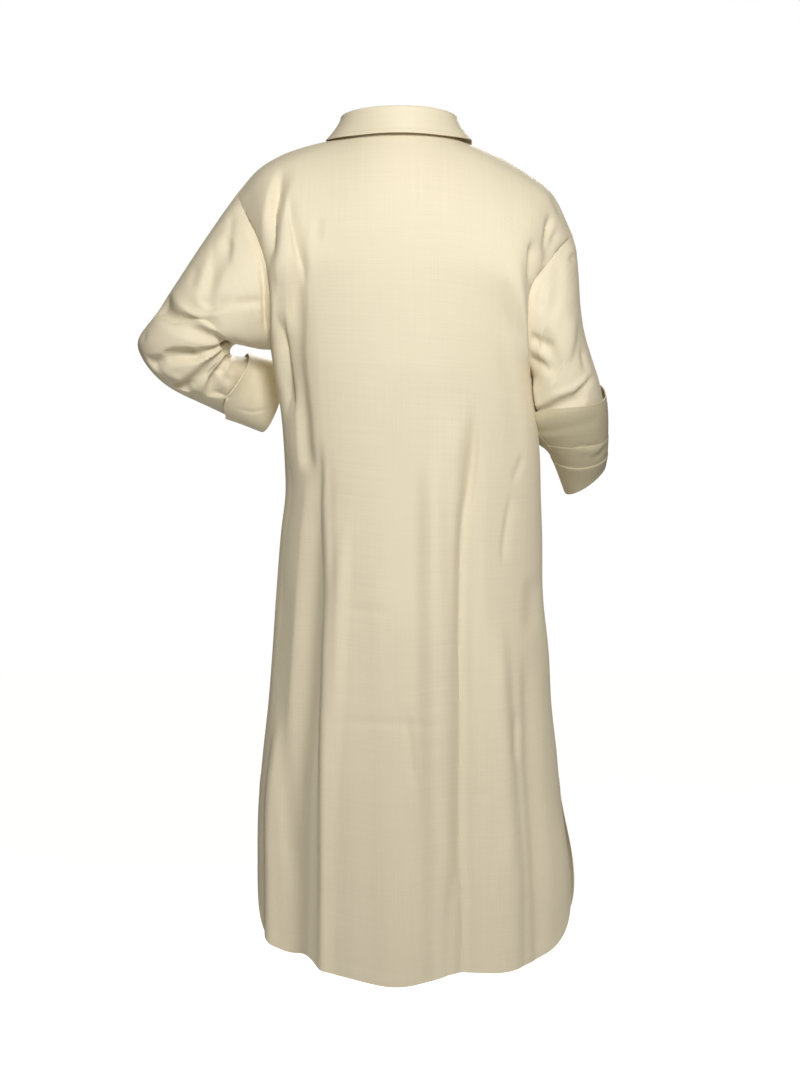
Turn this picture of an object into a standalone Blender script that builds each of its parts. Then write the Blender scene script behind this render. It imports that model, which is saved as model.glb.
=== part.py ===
"""Thobe robe: an ankle-length cotton shirt robe, worn pose, hollow.

Frame: metres, +Z up, the wearer faces -Y and the wearer's left is +X.
The origin is the middle of the neck, level with the neck seam.
"""
import math

import bmesh
import bpy
import numpy as np
from mathutils import Vector

# Cloth
CLOTH_WALL = 0.0014
BAND_WALL = 0.0020
COLLAR_WALL = 0.0016
SEAM_GAP = 0.0003
LEAN_FLOOR = 0.6
SHARP_ANGLE = 50

# Mesh density: columns across a panel, rows below and above the underarm
BACK_COLUMNS = 32
FRONT_COLUMNS = 32
BACK_LOW_ROWS = 20
FRONT_LOW_ROWS = 17
ARM_ROWS = 12
SLEEVE_RINGS = 22
CUFF_RINGS = 5
COLLAR_COLUMNS = 24

# Body sections below the arms: half widths and depths at each height
BODY_COLUMNS = ("height", "left", "right", "back", "front")
BODY_ROWS = (
    (-1.200, 0.200, 0.244, 0.128, 0.128),
    (-1.120, 0.202, 0.243, 0.127, 0.127),
    (-1.050, 0.202, 0.242, 0.125, 0.126),
    (-0.937, 0.201, 0.229, 0.121, 0.124),
    (-0.868, 0.195, 0.223, 0.119, 0.123),
    (-0.794, 0.187, 0.215, 0.117, 0.122),
    (-0.730, 0.182, 0.212, 0.114, 0.121),
    (-0.639, 0.176, 0.203, 0.109, 0.119),
    (-0.552, 0.169, 0.202, 0.104, 0.117),
    (-0.498, 0.163, 0.200, 0.101, 0.116),
    (-0.457, 0.164, 0.199, 0.100, 0.116),
    (-0.373, 0.171, 0.192, 0.102, 0.117),
    (-0.335, 0.178, 0.186, 0.104, 0.117),
    (-0.296, 0.184, 0.183, 0.106, 0.116),
)
SIDE_ROUNDNESS = 0.80
LOW_SIDE_ROUNDNESS = 1.18
ROUNDNESS_TOP = -0.36
ROUNDNESS_SPAN = 0.26

# Armholes, from the underarm (rise 0) to the shoulder point (rise 1)
UNDERARM_LEFT = -0.296
UNDERARM_RIGHT = -0.335
ARMHOLE_COLUMNS = ("rise", "half", "back", "front")
ARMHOLE_LEFT = (
    (0.00, 0.1840, 0.000, 0.000),
    (0.06, 0.1825, 0.028, 0.028),
    (0.19, 0.1815, 0.052, 0.050),
    (0.39, 0.1830, 0.064, 0.060),
    (0.54, 0.1890, 0.061, 0.057),
    (0.68, 0.1995, 0.051, 0.048),
    (0.85, 0.2180, 0.032, 0.031),
    (0.95, 0.2275, 0.015, 0.015),
    (1.00, 0.2306, 0.000, 0.000),
)
ARMHOLE_RIGHT = (
    (0.00, 0.1860, 0.000, 0.000),
    (0.06, 0.1835, 0.026, 0.028),
    (0.20, 0.1800, 0.050, 0.050),
    (0.40, 0.1790, 0.064, 0.060),
    (0.62, 0.1850, 0.062, 0.057),
    (0.76, 0.2050, 0.050, 0.048),
    (0.88, 0.2240, 0.034, 0.034),
    (0.96, 0.2390, 0.016, 0.016),
    (1.00, 0.2449, 0.000, 0.000),
)
SHOULDER_ROUND = 3.2
EDGE_FLATNESS = 4
EDGE_SHARPENING = 9
EDGE_SOFT_RISE = 0.45

# Shoulder seams, from the neck corner (along 0) to the shoulder point (along 1)
SHOULDER_COLUMNS = ("along", "left_x", "left_z", "right_x", "right_z")
SHOULDER_ROWS = (
    (0.0, 0.0790, 0.0050, 0.0760, 0.0050),
    (0.2, 0.1080, 0.0000, 0.1070, -0.0065),
    (0.4, 0.1390, -0.0080, 0.1440, -0.0230),
    (0.6, 0.1700, -0.0195, 0.1820, -0.0460),
    (0.8, 0.2020, -0.0395, 0.2180, -0.0760),
    (1.0, 0.2306, -0.0720, 0.2449, -0.1310),
)

# Neckline
NECK_SHARE = 0.375
NECK_BACK_Y = 0.060
NECK_FRONT_Y = -0.068
NECK_BACK_Z = 0.009
NECK_FRONT_Z = -0.072
NECK_FULLNESS = 4.2
NECK_BLEND_START = 0.25
NECK_FRONT_CURVE = 1.5

# Hem and side vents
HEM_COLUMNS = ("across", "back", "front")
HEM_ROWS = (
    (-1.00, -1.152, -1.138),
    (-0.60, -1.152, -1.138),
    (-0.37, -1.166, -1.146),
    (-0.20, -1.164, -1.152),
    (-0.02, -1.181, -1.158),
    (0.22, -1.171, -1.152),
    (0.38, -1.157, -1.144),
    (0.43, -1.148, -1.142),
    (0.62, -1.146, -1.138),
    (1.00, -1.146, -1.138),
)
HEM_CORNER_START = 0.55
HEM_CORNER_RISE = 0.108
HEM_CORNER_POWER = 1.6
VENT_TOP = -0.905
VENT_LENGTH = 0.12
VENT_SHARPNESS = 12
VENT_SPREAD = 0.010
VENT_FRONT_FLARE = 0.007

# Long folds of the panels, with the lengths over which they start and end
FOLD_FADE = 0.12
FOLD_HEM_FADE = 0.03
QUIET_SIDE_SHARPNESS = 10
QUIET_TOP_START = 1.55
# place across at the upper end, at the lower end, upper height, lower height, half width, depth
BACK_FOLDS = (
    (0.42, 0.47, -0.50, -1.22, 0.085, -0.013),
    (0.31, 0.36, -0.52, -1.22, 0.070, 0.006),
    (-0.30, -0.26, -0.38, -1.22, 0.075, -0.011),
    (-0.14, -0.15, -0.42, -1.22, 0.080, 0.007),
    (-0.46, -0.44, -0.66, -1.22, 0.080, 0.007),
    (0.62, 0.60, -0.10, -0.46, 0.100, -0.007),
    (-0.60, -0.62, -0.14, -0.44, 0.090, -0.006),
    (0.74, 0.72, -0.80, -1.22, 0.080, 0.006),
)
FRONT_FOLDS = (
    (0.45, 0.50, -0.40, -1.20, 0.090, -0.010),
    (0.28, 0.33, -0.46, -1.20, 0.080, 0.006),
    (-0.40, -0.44, -0.42, -1.20, 0.090, -0.011),
    (-0.24, -0.28, -0.50, -1.20, 0.080, 0.006),
    (-0.62, -0.64, -0.62, -1.20, 0.080, 0.006),
    (0.66, 0.68, -0.66, -1.20, 0.080, 0.005),
)

# Sleeves: each ring runs from its outer point to its inner point, bulging by its depth
# towards its back side, which yaws and leans (degrees) as the forearm turns
RING_COLUMNS = ("place", "outer_x", "outer_y", "outer_z",
                "inner_x", "inner_y", "inner_z", "depth", "yaw", "lean")
SLEEVE_LEFT = (
    (0.00, 0.2306, 0.000, -0.072, 0.1840, 0.000, -0.2960, 0.062, 0, 0),
    (0.12, 0.2530, 0.002, -0.103, 0.1950, 0.002, -0.2955, 0.067, 0, 0),
    (0.25, 0.2840, 0.006, -0.149, 0.2050, 0.006, -0.2940, 0.068, 0, 0),
    (0.38, 0.3150, 0.012, -0.198, 0.2150, 0.012, -0.2920, 0.065, 0, 0),
    (0.50, 0.3460, 0.018, -0.247, 0.2260, 0.016, -0.2890, 0.060, -1, 0),
    (0.58, 0.3700, 0.020, -0.282, 0.2350, 0.010, -0.2890, 0.056, -5, 8),
    (0.66, 0.3650, 0.018, -0.310, 0.2420, 0.000, -0.2925, 0.052, -13, 20),
    (0.74, 0.3420, 0.004, -0.339, 0.2440, -0.014, -0.2970, 0.048, -26, 27),
    (0.82, 0.3060, -0.017, -0.362, 0.2390, -0.036, -0.3005, 0.044, -38, 27),
    (0.90, 0.2500, -0.052, -0.384, 0.2200, -0.078, -0.3020, 0.039, -40, 12),
    (1.00, 0.2020, -0.088, -0.406, 0.1740, -0.118, -0.3080, 0.036, -38, 6),
)
SLEEVE_RIGHT = (
    (0.00, -0.2449, 0.000, -0.131, -0.1860, 0.000, -0.3350, 0.062, 0, 0),
    (0.12, -0.2510, 0.000, -0.153, -0.1950, 0.000, -0.3400, 0.067, 0, 0),
    (0.25, -0.2545, 0.000, -0.192, -0.2015, 0.000, -0.3500, 0.070, 0, 0),
    (0.38, -0.2570, 0.004, -0.236, -0.2040, 0.004, -0.3620, 0.069, 0, 0),
    (0.50, -0.2630, 0.008, -0.276, -0.2050, 0.006, -0.3740, 0.066, 0, 3),
    (0.60, -0.2730, 0.010, -0.310, -0.2060, 0.004, -0.3850, 0.062, 0, 12),
    (0.70, -0.2850, 0.004, -0.345, -0.2080, -0.008, -0.3970, 0.056, -2, 24),
    (0.80, -0.2930, -0.016, -0.384, -0.2120, -0.028, -0.4130, 0.049, -5, 34),
    (0.90, -0.2960, -0.046, -0.424, -0.2230, -0.054, -0.4420, 0.043, -10, 35),
    (1.00, -0.2930, -0.078, -0.458, -0.2430, -0.082, -0.4930, 0.038, -18, 32),
)
SLEEVE_SQUARENESS = 0.88
ARMHOLE_REACH = 0.45

CREASE_FADE = 0.15

# Creases of the sleeves: turn 0 is the outer side, 0.25 back, 0.5 inner, 0.75 front
# place and turn at one end, place and turn at the other, half width, depth
CREASES_LEFT = (
    (0.47, 0.06, 0.56, 0.42, 0.050, -0.009),
    (0.66, 0.10, 0.60, 0.42, 0.036, -0.009),
    (0.76, 0.12, 0.64, 0.43, 0.034, -0.008),
    (0.84, 0.16, 0.70, 0.42, 0.030, -0.006),
    (0.50, 0.90, 0.52, 0.62, 0.050, -0.003),
    (0.74, 0.90, 0.70, 0.64, 0.045, -0.002),
    (0.16, 0.14, 0.36, 0.22, 0.045, -0.005),
    (0.14, 0.84, 0.36, 0.76, 0.045, -0.005),
)
CREASES_RIGHT = (
    (0.56, 0.40, 0.66, 0.16, 0.040, -0.006),
    (0.68, 0.38, 0.76, 0.14, 0.036, -0.006),
    (0.62, 0.88, 0.70, 0.60, 0.045, -0.009),
    (0.74, 0.88, 0.76, 0.60, 0.040, -0.008),
    (0.20, 0.30, 0.48, 0.24, 0.050, -0.005),
    (0.20, 0.70, 0.48, 0.76, 0.050, -0.005),
)

# Turned-back cuffs
# Free edge of each cuff by turn round the arm, as a place along the sleeve
CUFF_START_COLUMNS = ("turn", "left", "right")
CUFF_START_ROWS = (
    (0.00, 0.905, 0.745),
    (0.12, 0.905, 0.690),
    (0.25, 0.905, 0.645),
    (0.38, 0.905, 0.625),
    (0.50, 0.905, 0.625),
    (0.62, 0.905, 0.660),
    (0.75, 0.905, 0.700),
    (0.88, 0.905, 0.735),
    (1.00, 0.905, 0.745),
)
CUFF_STANDOFF = 0.0014
CUFF_FLARE = 0.0045
CUFF_OVERHANG = 0.004
SLEEVE_PLACKET_COLUMN = 9
SLEEVE_PLACKET_WIDTH = 2
SLEEVE_PLACKET_RINGS = 3

# Collar, measured from the neck seam
COLLAR_TURN_COLUMNS = ("turn", "stand", "reach", "drop")
COLLAR_TURN_ROWS = (
    (0.00, 0.0270, 0.0110, 0.0382),
    (0.25, 0.0270, 0.0120, 0.0372),
    (0.50, 0.0255, 0.0260, 0.0325),
    (0.63, 0.0250, 0.0320, 0.0290),
    (0.78, 0.0245, 0.0360, 0.0375),
    (1.00, 0.0240, 0.0400, 0.0620),
)
STAND_TILT = 0.0025
ROLL_HEIGHT = 0.0042
ROLL_OUT = 0.0060
STAND_LIFT = 0.0006
STAND_LAP_START = 0.80
STAND_LAP_SPAN = 0.14
FALL_CURVE = 1.3
FALL_FRONT_GAP = 0.085
FALL_ROWS = 7
ROLL_ROWS = 3
STAND_ROWS = 3

# Front closure
PLACKET_HALF_COLUMNS = 1
PLACKET_LOW_ROWS = 2
BUTTON_RADIUS = 0.0058
BUTTON_THICKNESS = 0.0026
BUTTON_HEIGHTS = (-0.130, -0.205, -0.280, -0.355)
BUTTON_SIDES = 20
BUTTON_TAPER = 0.93
BUTTON_RIM = 0.22
BUTTON_DISH = 0.25

CREAM = (0.79, 0.72, 0.55)
CREAM_SHADE = (0.70, 0.63, 0.46)
BUTTON_CREAM = (0.62, 0.54, 0.40)


def column(rows, names, name):
    return np.array([row[names.index(name)] for row in rows])


def read(rows, names, name, at):
    """Value of one column on a smooth curve through the rows, which go by their first column."""
    knots = column(rows, names, names[0])
    values = column(rows, names, name)
    slopes = np.gradient(values, knots)
    at = np.clip(at, knots[0], knots[-1])
    cell = np.clip(np.searchsorted(knots, at, side="right") - 1, 0, len(knots) - 2)
    width = knots[cell + 1] - knots[cell]
    part = (at - knots[cell]) / width
    start = (1 + 2 * part) * (1 - part) ** 2 * values[cell]
    start = start + part * (1 - part) ** 2 * width * slopes[cell]
    end = part ** 2 * (3 - 2 * part) * values[cell + 1]
    return start + end + part ** 2 * (part - 1) * width * slopes[cell + 1]


def ease(value):
    value = np.clip(value, 0.0, 1.0)
    return value * value * (3 - 2 * value)


def unit(vectors):
    length = np.linalg.norm(vectors, axis=-1, keepdims=True)
    return vectors / np.maximum(length, 1e-12)


def grid_normals(points, closed):
    """Unit normals of a grid of points; closed grids join their last column to the first."""
    if closed:
        turned = np.concatenate([points[:, -1:], points, points[:, :1]], axis=1)
        across = np.gradient(turned, axis=1)[:, 1:-1]
    else:
        across = np.gradient(points, axis=1)
    return unit(np.cross(across, np.gradient(points, axis=0)))


def hem_height(side, across):
    corner = np.clip((np.abs(across) - HEM_CORNER_START) / (1 - HEM_CORNER_START), 0, 1)
    lift = 1 - (1 - corner ** HEM_CORNER_POWER) ** (1 / HEM_CORNER_POWER)
    return read(HEM_ROWS, HEM_COLUMNS, side, across) + HEM_CORNER_RISE * lift


def neck_point(turn):
    """Point of the neck seam; turn runs -1 to 1 with 0 at the back and 1 at the front."""
    angle = math.pi * np.asarray(turn, float)
    left = np.sin(angle) >= 0
    half = np.where(left, SHOULDER_ROWS[0][1], SHOULDER_ROWS[0][3])
    side_z = SHOULDER_ROWS[0][2]
    facing = np.cos(angle)
    behind = facing > 0
    y = np.where(behind, NECK_BACK_Y, -NECK_FRONT_Y) * facing
    rise = (NECK_BACK_Z - side_z) * np.maximum(facing, 0) ** 2
    dip = (NECK_FRONT_Z - side_z) * np.maximum(-facing, 0) ** NECK_FRONT_CURVE
    z = side_z + rise + dip
    return np.stack(np.broadcast_arrays(half * np.sin(angle), y, z), axis=-1)


def top_edge(side, across):
    """Upper edge of a panel: the neckline in the middle, a shoulder seam at each end."""
    span = np.abs(across)
    along = np.clip((span - NECK_SHARE) / (1 - NECK_SHARE), 0, 1)
    left = across >= 0
    x_left = read(SHOULDER_ROWS, SHOULDER_COLUMNS, "left_x", along)
    x_right = read(SHOULDER_ROWS, SHOULDER_COLUMNS, "right_x", along)
    z_left = read(SHOULDER_ROWS, SHOULDER_COLUMNS, "left_z", along)
    z_right = read(SHOULDER_ROWS, SHOULDER_COLUMNS, "right_z", along)
    x = np.where(left, x_left, -x_right)
    z = np.where(left, z_left, z_right)
    quarter = 0.5 * np.clip(across / NECK_SHARE, -1, 1)
    turn = quarter if side == "back" else np.where(quarter >= 0, 1 - quarter, -1 - quarter)
    neck = neck_point(turn)
    in_neck = (span < NECK_SHARE - 1e-9)[..., None]
    seam = np.stack([x, np.zeros_like(x), z], axis=-1)
    return np.where(in_neck, neck, seam)


def body_surface(side, across, along):
    """Outer face of a panel: along 0 hem, 1 underarm, 2 shoulder; across -1 right, 1 left."""
    across, along = np.broadcast_arrays(np.asarray(across, float), np.asarray(along, float))
    sign = 1.0 if side == "back" else -1.0
    left = across >= 0
    swing = np.sin(0.5 * math.pi * across)
    underarm = UNDERARM_RIGHT + (UNDERARM_LEFT - UNDERARM_RIGHT) * 0.5 * (across + 1)
    hem = hem_height(side, across)
    z_low = hem + (underarm - hem) * np.clip(along, 0, 1)
    lower = ease((ROUNDNESS_TOP - z_low) / ROUNDNESS_SPAN)
    roundness = SIDE_ROUNDNESS + (LOW_SIDE_ROUNDNESS - SIDE_ROUNDNESS) * lower
    face = np.maximum(np.cos(0.5 * math.pi * across), 0) ** roundness
    half_left = read(BODY_ROWS, BODY_COLUMNS, "left", z_low)
    half_right = read(BODY_ROWS, BODY_COLUMNS, "right", z_low)
    vent = ease((VENT_TOP - z_low) / VENT_LENGTH)
    if side == "front":
        half_right = half_right + VENT_FRONT_FLARE * vent
    x_low = np.where(left, half_left, half_right) * swing
    y_low = read(BODY_ROWS, BODY_COLUMNS, side, z_low) * face
    y_low = y_low + VENT_SPREAD * vent * np.abs(swing) ** VENT_SHARPNESS

    rise = 0.5 * (1 - np.cos(math.pi * np.clip(along - 1, 0, 1)))
    edge_left = read(ARMHOLE_LEFT, ARMHOLE_COLUMNS, "half", rise)
    edge_right = read(ARMHOLE_RIGHT, ARMHOLE_COLUMNS, "half", rise)
    edge = np.where(left, edge_left, edge_right)
    deep_left = read(ARMHOLE_LEFT, ARMHOLE_COLUMNS, side, rise)
    deep_right = read(ARMHOLE_RIGHT, ARMHOLE_COLUMNS, side, rise)
    edge_deep = np.where(left, deep_left, deep_right)
    top = top_edge(side, across)
    corner = np.where(left, SHOULDER_ROWS[-1][1], SHOULDER_ROWS[-1][3])
    share = rise ** 2
    x_up = edge * ((1 - share) * swing + share * top[..., 0] / corner)
    z_up = underarm + (top[..., 2] - underarm) * rise
    in_neck = 1 - ease(np.abs(across) / NECK_SHARE - NECK_BLEND_START)
    round_over = np.sqrt(np.maximum(1 - rise ** SHOULDER_ROUND, 0))
    slope_in = 1 - rise ** NECK_FULLNESS
    hold = round_over + (slope_in - round_over) * in_neck
    y_top = sign * top[..., 1]
    sharp = EDGE_FLATNESS + EDGE_SHARPENING * (1 - ease(rise / EDGE_SOFT_RISE))
    y_up = y_top + (y_low - y_top) * hold + np.abs(swing) ** sharp * edge_deep

    upper = along > 1
    x = np.where(upper, x_up, x_low)
    y = np.where(upper, y_up, y_low)
    z = np.where(upper, z_up, z_low)
    return np.stack([x, sign * y, z], axis=-1)


def fold_depth(folds, across, z):
    """How far the long folds move a panel's cloth out, by place across and height."""
    total = np.zeros_like(z)
    for upper, lower, from_z, to_z, half_width, depth in folds:
        run = np.clip((from_z - z) / (from_z - to_z), 0, 1)
        centre = upper + (lower - upper) * run
        reach = np.clip(np.abs(across - centre) / half_width, 0, 1)
        shape = 0.5 * (1 + np.cos(math.pi * reach))
        fade = ease((from_z - z) / FOLD_FADE) * ease((z - to_z) / FOLD_HEM_FADE + 0.6)
        total = total + depth * shape * fade
    return total


def panel_grid(side, columns, low_rows):
    """Outer points and wall directions of the front or the back panel."""
    across = np.linspace(-1, 1, columns + 1)[None, :]
    low = np.linspace(0, 1, low_rows + 1)
    high = np.linspace(1, 2, ARM_ROWS + 1)[1:]
    along = np.concatenate([low, high])[:, None]
    points = body_surface(side, across, along)
    sign = 1.0 if side == "back" else -1.0
    normals = grid_normals(points, closed=False) * -sign
    folds = BACK_FOLDS if side == "back" else FRONT_FOLDS
    quiet_sides = 1 - np.abs(across) ** QUIET_SIDE_SHARPNESS
    quiet_top = 1 - ease(along - QUIET_TOP_START)
    depth = fold_depth(folds, across, points[..., 2]) * quiet_sides * quiet_top
    points = points + normals * depth[..., None]
    normals = grid_normals(points, closed=False) * -sign

    # Side seams, and shoulder seams, lie in the plane between front and back
    flat = np.array([1.0, 0.0, 1.0])
    normals[:low_rows + 1, 0] = unit(normals[:low_rows + 1, 0] * flat)
    normals[:low_rows + 1, -1] = unit(normals[:low_rows + 1, -1] * flat)
    on_seam = np.abs(across[0]) >= NECK_SHARE - 1e-9
    normals[-1, on_seam] = unit(normals[-1, on_seam] * flat)
    stretch = np.ones(points.shape[:2])

    # At the armholes and the neck the wall direction leans halfway to the next piece
    for edge in (0, -1):
        arm = points[low_rows:, edge]
        centre = np.array([0.0, 0.0, 0.5 * (arm[0, 2] + arm[-1, 2])])
        outward = unit((arm - centre) * np.array([0, 1, 1]))
        panel = normals[low_rows:, edge].copy()
        lean = unit(panel + outward)
        normals[low_rows:, edge] = lean
        stretch[low_rows:, edge] = 1 / np.maximum(np.sum(lean * panel, axis=-1), LEAN_FLOOR)
    inner = ~on_seam
    around = unit(points[-1, inner] * np.array([1, 1, 0]))
    panel = normals[-1, inner].copy()
    lean = unit(panel + around)
    normals[-1, inner] = lean
    stretch[-1, inner] = 1 / np.maximum(np.sum(lean * panel, axis=-1), LEAN_FLOOR)

    # Half the seam gap on each side of the plane
    points[..., 1] = sign * np.maximum(sign * points[..., 1], 0.5 * SEAM_GAP)
    return points, normals * stretch[..., None]


def wall_object(name, outer, inner, material, closed=False):
    """A closed wall between two grids of points; closed grids are tubes."""
    rows, columns = outer.shape[:2]
    mesh = bmesh.new()
    outside = [[mesh.verts.new(point) for point in row] for row in outer]
    inside = [[mesh.verts.new(point) for point in row] for row in inner]
    spans = columns if closed else columns - 1
    for row in range(rows - 1):
        for start in range(spans):
            end = (start + 1) % columns
            mesh.faces.new((outside[row][start], outside[row][end],
                            outside[row + 1][end], outside[row + 1][start]))
            mesh.faces.new((inside[row + 1][start], inside[row + 1][end],
                            inside[row][end], inside[row][start]))
    for start in range(spans):
        end = (start + 1) % columns
        mesh.faces.new((outside[0][end], outside[0][start], inside[0][start], inside[0][end]))
        mesh.faces.new((outside[-1][start], outside[-1][end], inside[-1][end], inside[-1][start]))
    if not closed:
        for row in range(rows - 1):
            mesh.faces.new((outside[row][0], outside[row + 1][0],
                            inside[row + 1][0], inside[row][0]))
            mesh.faces.new((outside[row + 1][-1], outside[row][-1],
                            inside[row][-1], inside[row + 1][-1]))
    bmesh.ops.triangulate(mesh, faces=mesh.faces)
    bmesh.ops.recalc_face_normals(mesh, faces=mesh.faces)
    data = bpy.data.meshes.new(name)
    mesh.to_mesh(data)
    mesh.free()
    data.shade_smooth()
    data.set_sharp_from_angle(angle=math.radians(SHARP_ANGLE))
    data.materials.append(material)
    piece = bpy.data.objects.new(name, data)
    ROBE.objects.link(piece)
    return piece


def cloth_material(name, colour, roughness):
    material = bpy.data.materials.new(name)
    material.use_nodes = True
    shader = material.node_tree.nodes["Principled BSDF"]
    shader.inputs["Base Color"].default_value = (*colour, 1.0)
    shader.inputs["Roughness"].default_value = roughness
    shader.inputs["Metallic"].default_value = 0.0
    return material


def armhole_loop(back, front, edge, low_rows):
    """Points and wall directions round an armhole: shoulder, back, underarm, front."""
    back_points, back_walls = back
    front_points, front_walls = front
    behind = back_points[low_rows[0]:, edge][::-1]
    before = front_points[low_rows[1]:, edge][1:-1]
    points = np.concatenate([behind, before])
    walls = np.concatenate([back_walls[low_rows[0]:, edge][::-1],
                            front_walls[low_rows[1]:, edge][1:-1]])
    points[0, 1] = 0.0
    points[ARM_ROWS, 1] = 0.0
    return points, walls


def sleeve_surface(rows, loop, place, turn):
    """Outer face of a sleeve on its rings; turn 0 outer, 0.25 back, 0.5 inner, 0.75 front."""
    place, turn = np.broadcast_arrays(np.asarray(place, float), np.asarray(turn, float))
    outer = np.stack([read(rows, RING_COLUMNS, "outer_" + axis, place) for axis in "xyz"], axis=-1)
    inner = np.stack([read(rows, RING_COLUMNS, "inner_" + axis, place) for axis in "xyz"], axis=-1)
    yaw = np.radians(read(rows, RING_COLUMNS, "yaw", place))
    lean = np.radians(read(rows, RING_COLUMNS, "lean", place))
    bulge = np.stack([np.sin(yaw) * np.cos(lean), np.cos(yaw) * np.cos(lean), -np.sin(lean)], axis=-1)
    chord = unit(outer - inner)
    bulge = unit(bulge - chord * np.sum(bulge * chord, axis=-1, keepdims=True))
    angle = 2 * math.pi * turn
    depth = read(rows, RING_COLUMNS, "depth", place)
    side = np.sign(np.sin(angle)) * np.abs(np.sin(angle)) ** SLEEVE_SQUARENESS
    middle = 0.5 * (outer + inner)
    points = middle + 0.5 * (outer - inner) * np.cos(angle)[..., None]
    points = points + bulge * (depth * side)[..., None]
    if loop is None:
        return points
    first = sleeve_surface(rows, None, np.zeros(turn.shape[-1]), turn[0])
    hold = np.clip(1 - place / ARMHOLE_REACH, 0, 1) ** 2
    return points + (loop - first)[None] * hold[..., None]


def crease_depth(creases, place, turn):
    total = np.zeros(np.broadcast(place, turn).shape)
    for place_a, turn_a, place_b, turn_b, half_width, depth in creases:
        span = np.array([place_b - place_a, turn_b - turn_a])
        part = ((place - place_a) * span[0] + (turn - turn_a) * span[1]) / np.dot(span, span)
        part = np.clip(part, 0, 1)
        away = np.hypot(place - place_a - part * span[0], turn - turn_a - part * span[1])
        shape = 0.5 * (1 + np.cos(math.pi * np.clip(away / half_width, 0, 1)))
        total = total + depth * shape
    return total


def sleeve_grid(rows, loop, walls, creases, side):
    """Outer points and wall directions of a sleeve, its first ring on the armhole."""
    place = np.linspace(0, 1, SLEEVE_RINGS + 1)[:, None]
    turn = (np.arange(2 * ARM_ROWS) / (2 * ARM_ROWS))[None, :]
    points = sleeve_surface(rows, loop, place, turn)
    normals = grid_normals(points, closed=True) * -side
    depth = crease_depth(creases, place, turn) * ease(place / CREASE_FADE)
    points = points + normals * depth[..., None]
    normals = grid_normals(points, closed=True) * -side
    tangent = unit(np.roll(loop, -1, axis=0) - np.roll(loop, 1, axis=0))
    apart = unit(np.cross(tangent, walls)) * side
    points[0] = loop + SEAM_GAP * apart
    normals[0] = walls
    return points, normals


def make_sleeve(name, grid, material):
    points, walls = grid
    return wall_object(name, points, points - CLOTH_WALL * walls, material, closed=True)


def along_sleeve(values, place):
    """Values of a sleeve's rings at places between them, for each column round the arm."""
    ring = np.clip(place * SLEEVE_RINGS, 0, SLEEVE_RINGS)
    low = np.minimum(ring.astype(int), SLEEVE_RINGS - 1)
    part = (ring - low)[..., None]
    column = np.arange(values.shape[1])[None, :]
    return values[low, column] * (1 - part) + values[low + 1, column] * part


def cuff_grid(grid, name):
    """Rings of a turned-back cuff: the sleeve's last points moved out, flared at the free edge."""
    points, walls = grid
    turn = np.arange(points.shape[1]) / points.shape[1]
    start = read(CUFF_START_ROWS, CUFF_START_COLUMNS, name, turn)[None, :]
    back = np.linspace(1, 0, CUFF_RINGS + 1)[:, None]
    place = start + (1 - start) * (1 - back)
    directions = unit(along_sleeve(walls, place))
    away = SEAM_GAP + CUFF_STANDOFF * (1 - (1 - back) ** 3) + CUFF_FLARE * back ** 2
    inner = along_sleeve(points, place) + directions * away[..., None]
    inner[-1] = inner[-1] + unit(inner[-1] - inner[-2]) * CUFF_OVERHANG
    return inner, directions


def make_cuff(name, cuff, material):
    inner, directions = cuff
    return wall_object(name, inner + BAND_WALL * directions, inner, material, closed=True)


def make_sleeve_placket(name, cuff, material):
    """Strip that binds the sleeve's slit: columns of the turned-back cuff moved out."""
    points, walls = cuff
    rows = slice(0, SLEEVE_PLACKET_RINGS + 1)
    columns = slice(SLEEVE_PLACKET_COLUMN, SLEEVE_PLACKET_COLUMN + SLEEVE_PLACKET_WIDTH + 1)
    inner = points[rows, columns] + (BAND_WALL + SEAM_GAP) * walls[rows, columns]
    wall_object(name, inner + CLOTH_WALL * walls[rows, columns], inner, material)


def collar_value(name, turn):
    return read(COLLAR_TURN_ROWS, COLLAR_TURN_COLUMNS, name, np.abs(turn))


def neck_frame(turn):
    """Neck seam points with their outward direction, level with the ground."""
    points = neck_point(turn)
    step = 1e-3
    along = unit(neck_point(turn + step) - neck_point(turn - step))
    out = unit(np.cross(along, np.array([0.0, 0.0, 1.0])))
    out = out * np.sign(np.sum(out * points, axis=-1, keepdims=True))
    return points, out


def make_stand(material):
    """Collar stand: a band on the neck seam whose left end laps over the right one in front."""
    turn = np.linspace(-1, 1, COLLAR_COLUMNS + 1)
    turn = np.concatenate([turn, 1 + turn[1:2] + 1])
    wrapped = (turn + 1) % 2 - 1
    points, out = neck_frame(wrapped)
    lap = ease((turn - STAND_LAP_START) / STAND_LAP_SPAN)[:, None] * (COLLAR_WALL + 2 * SEAM_GAP)
    height = collar_value("stand", wrapped)
    up = np.array([0.0, 0.0, 1.0])
    rows = []
    for part in np.linspace(0, 1, STAND_ROWS):
        rise = SEAM_GAP + STAND_LIFT + part * height
        rows.append(points + out * (lap - part * STAND_TILT) + up * rise[:, None])
    outer = np.array(rows)
    inner = outer - out * COLLAR_WALL
    return wall_object("collar_stand", outer, inner, material)


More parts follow.
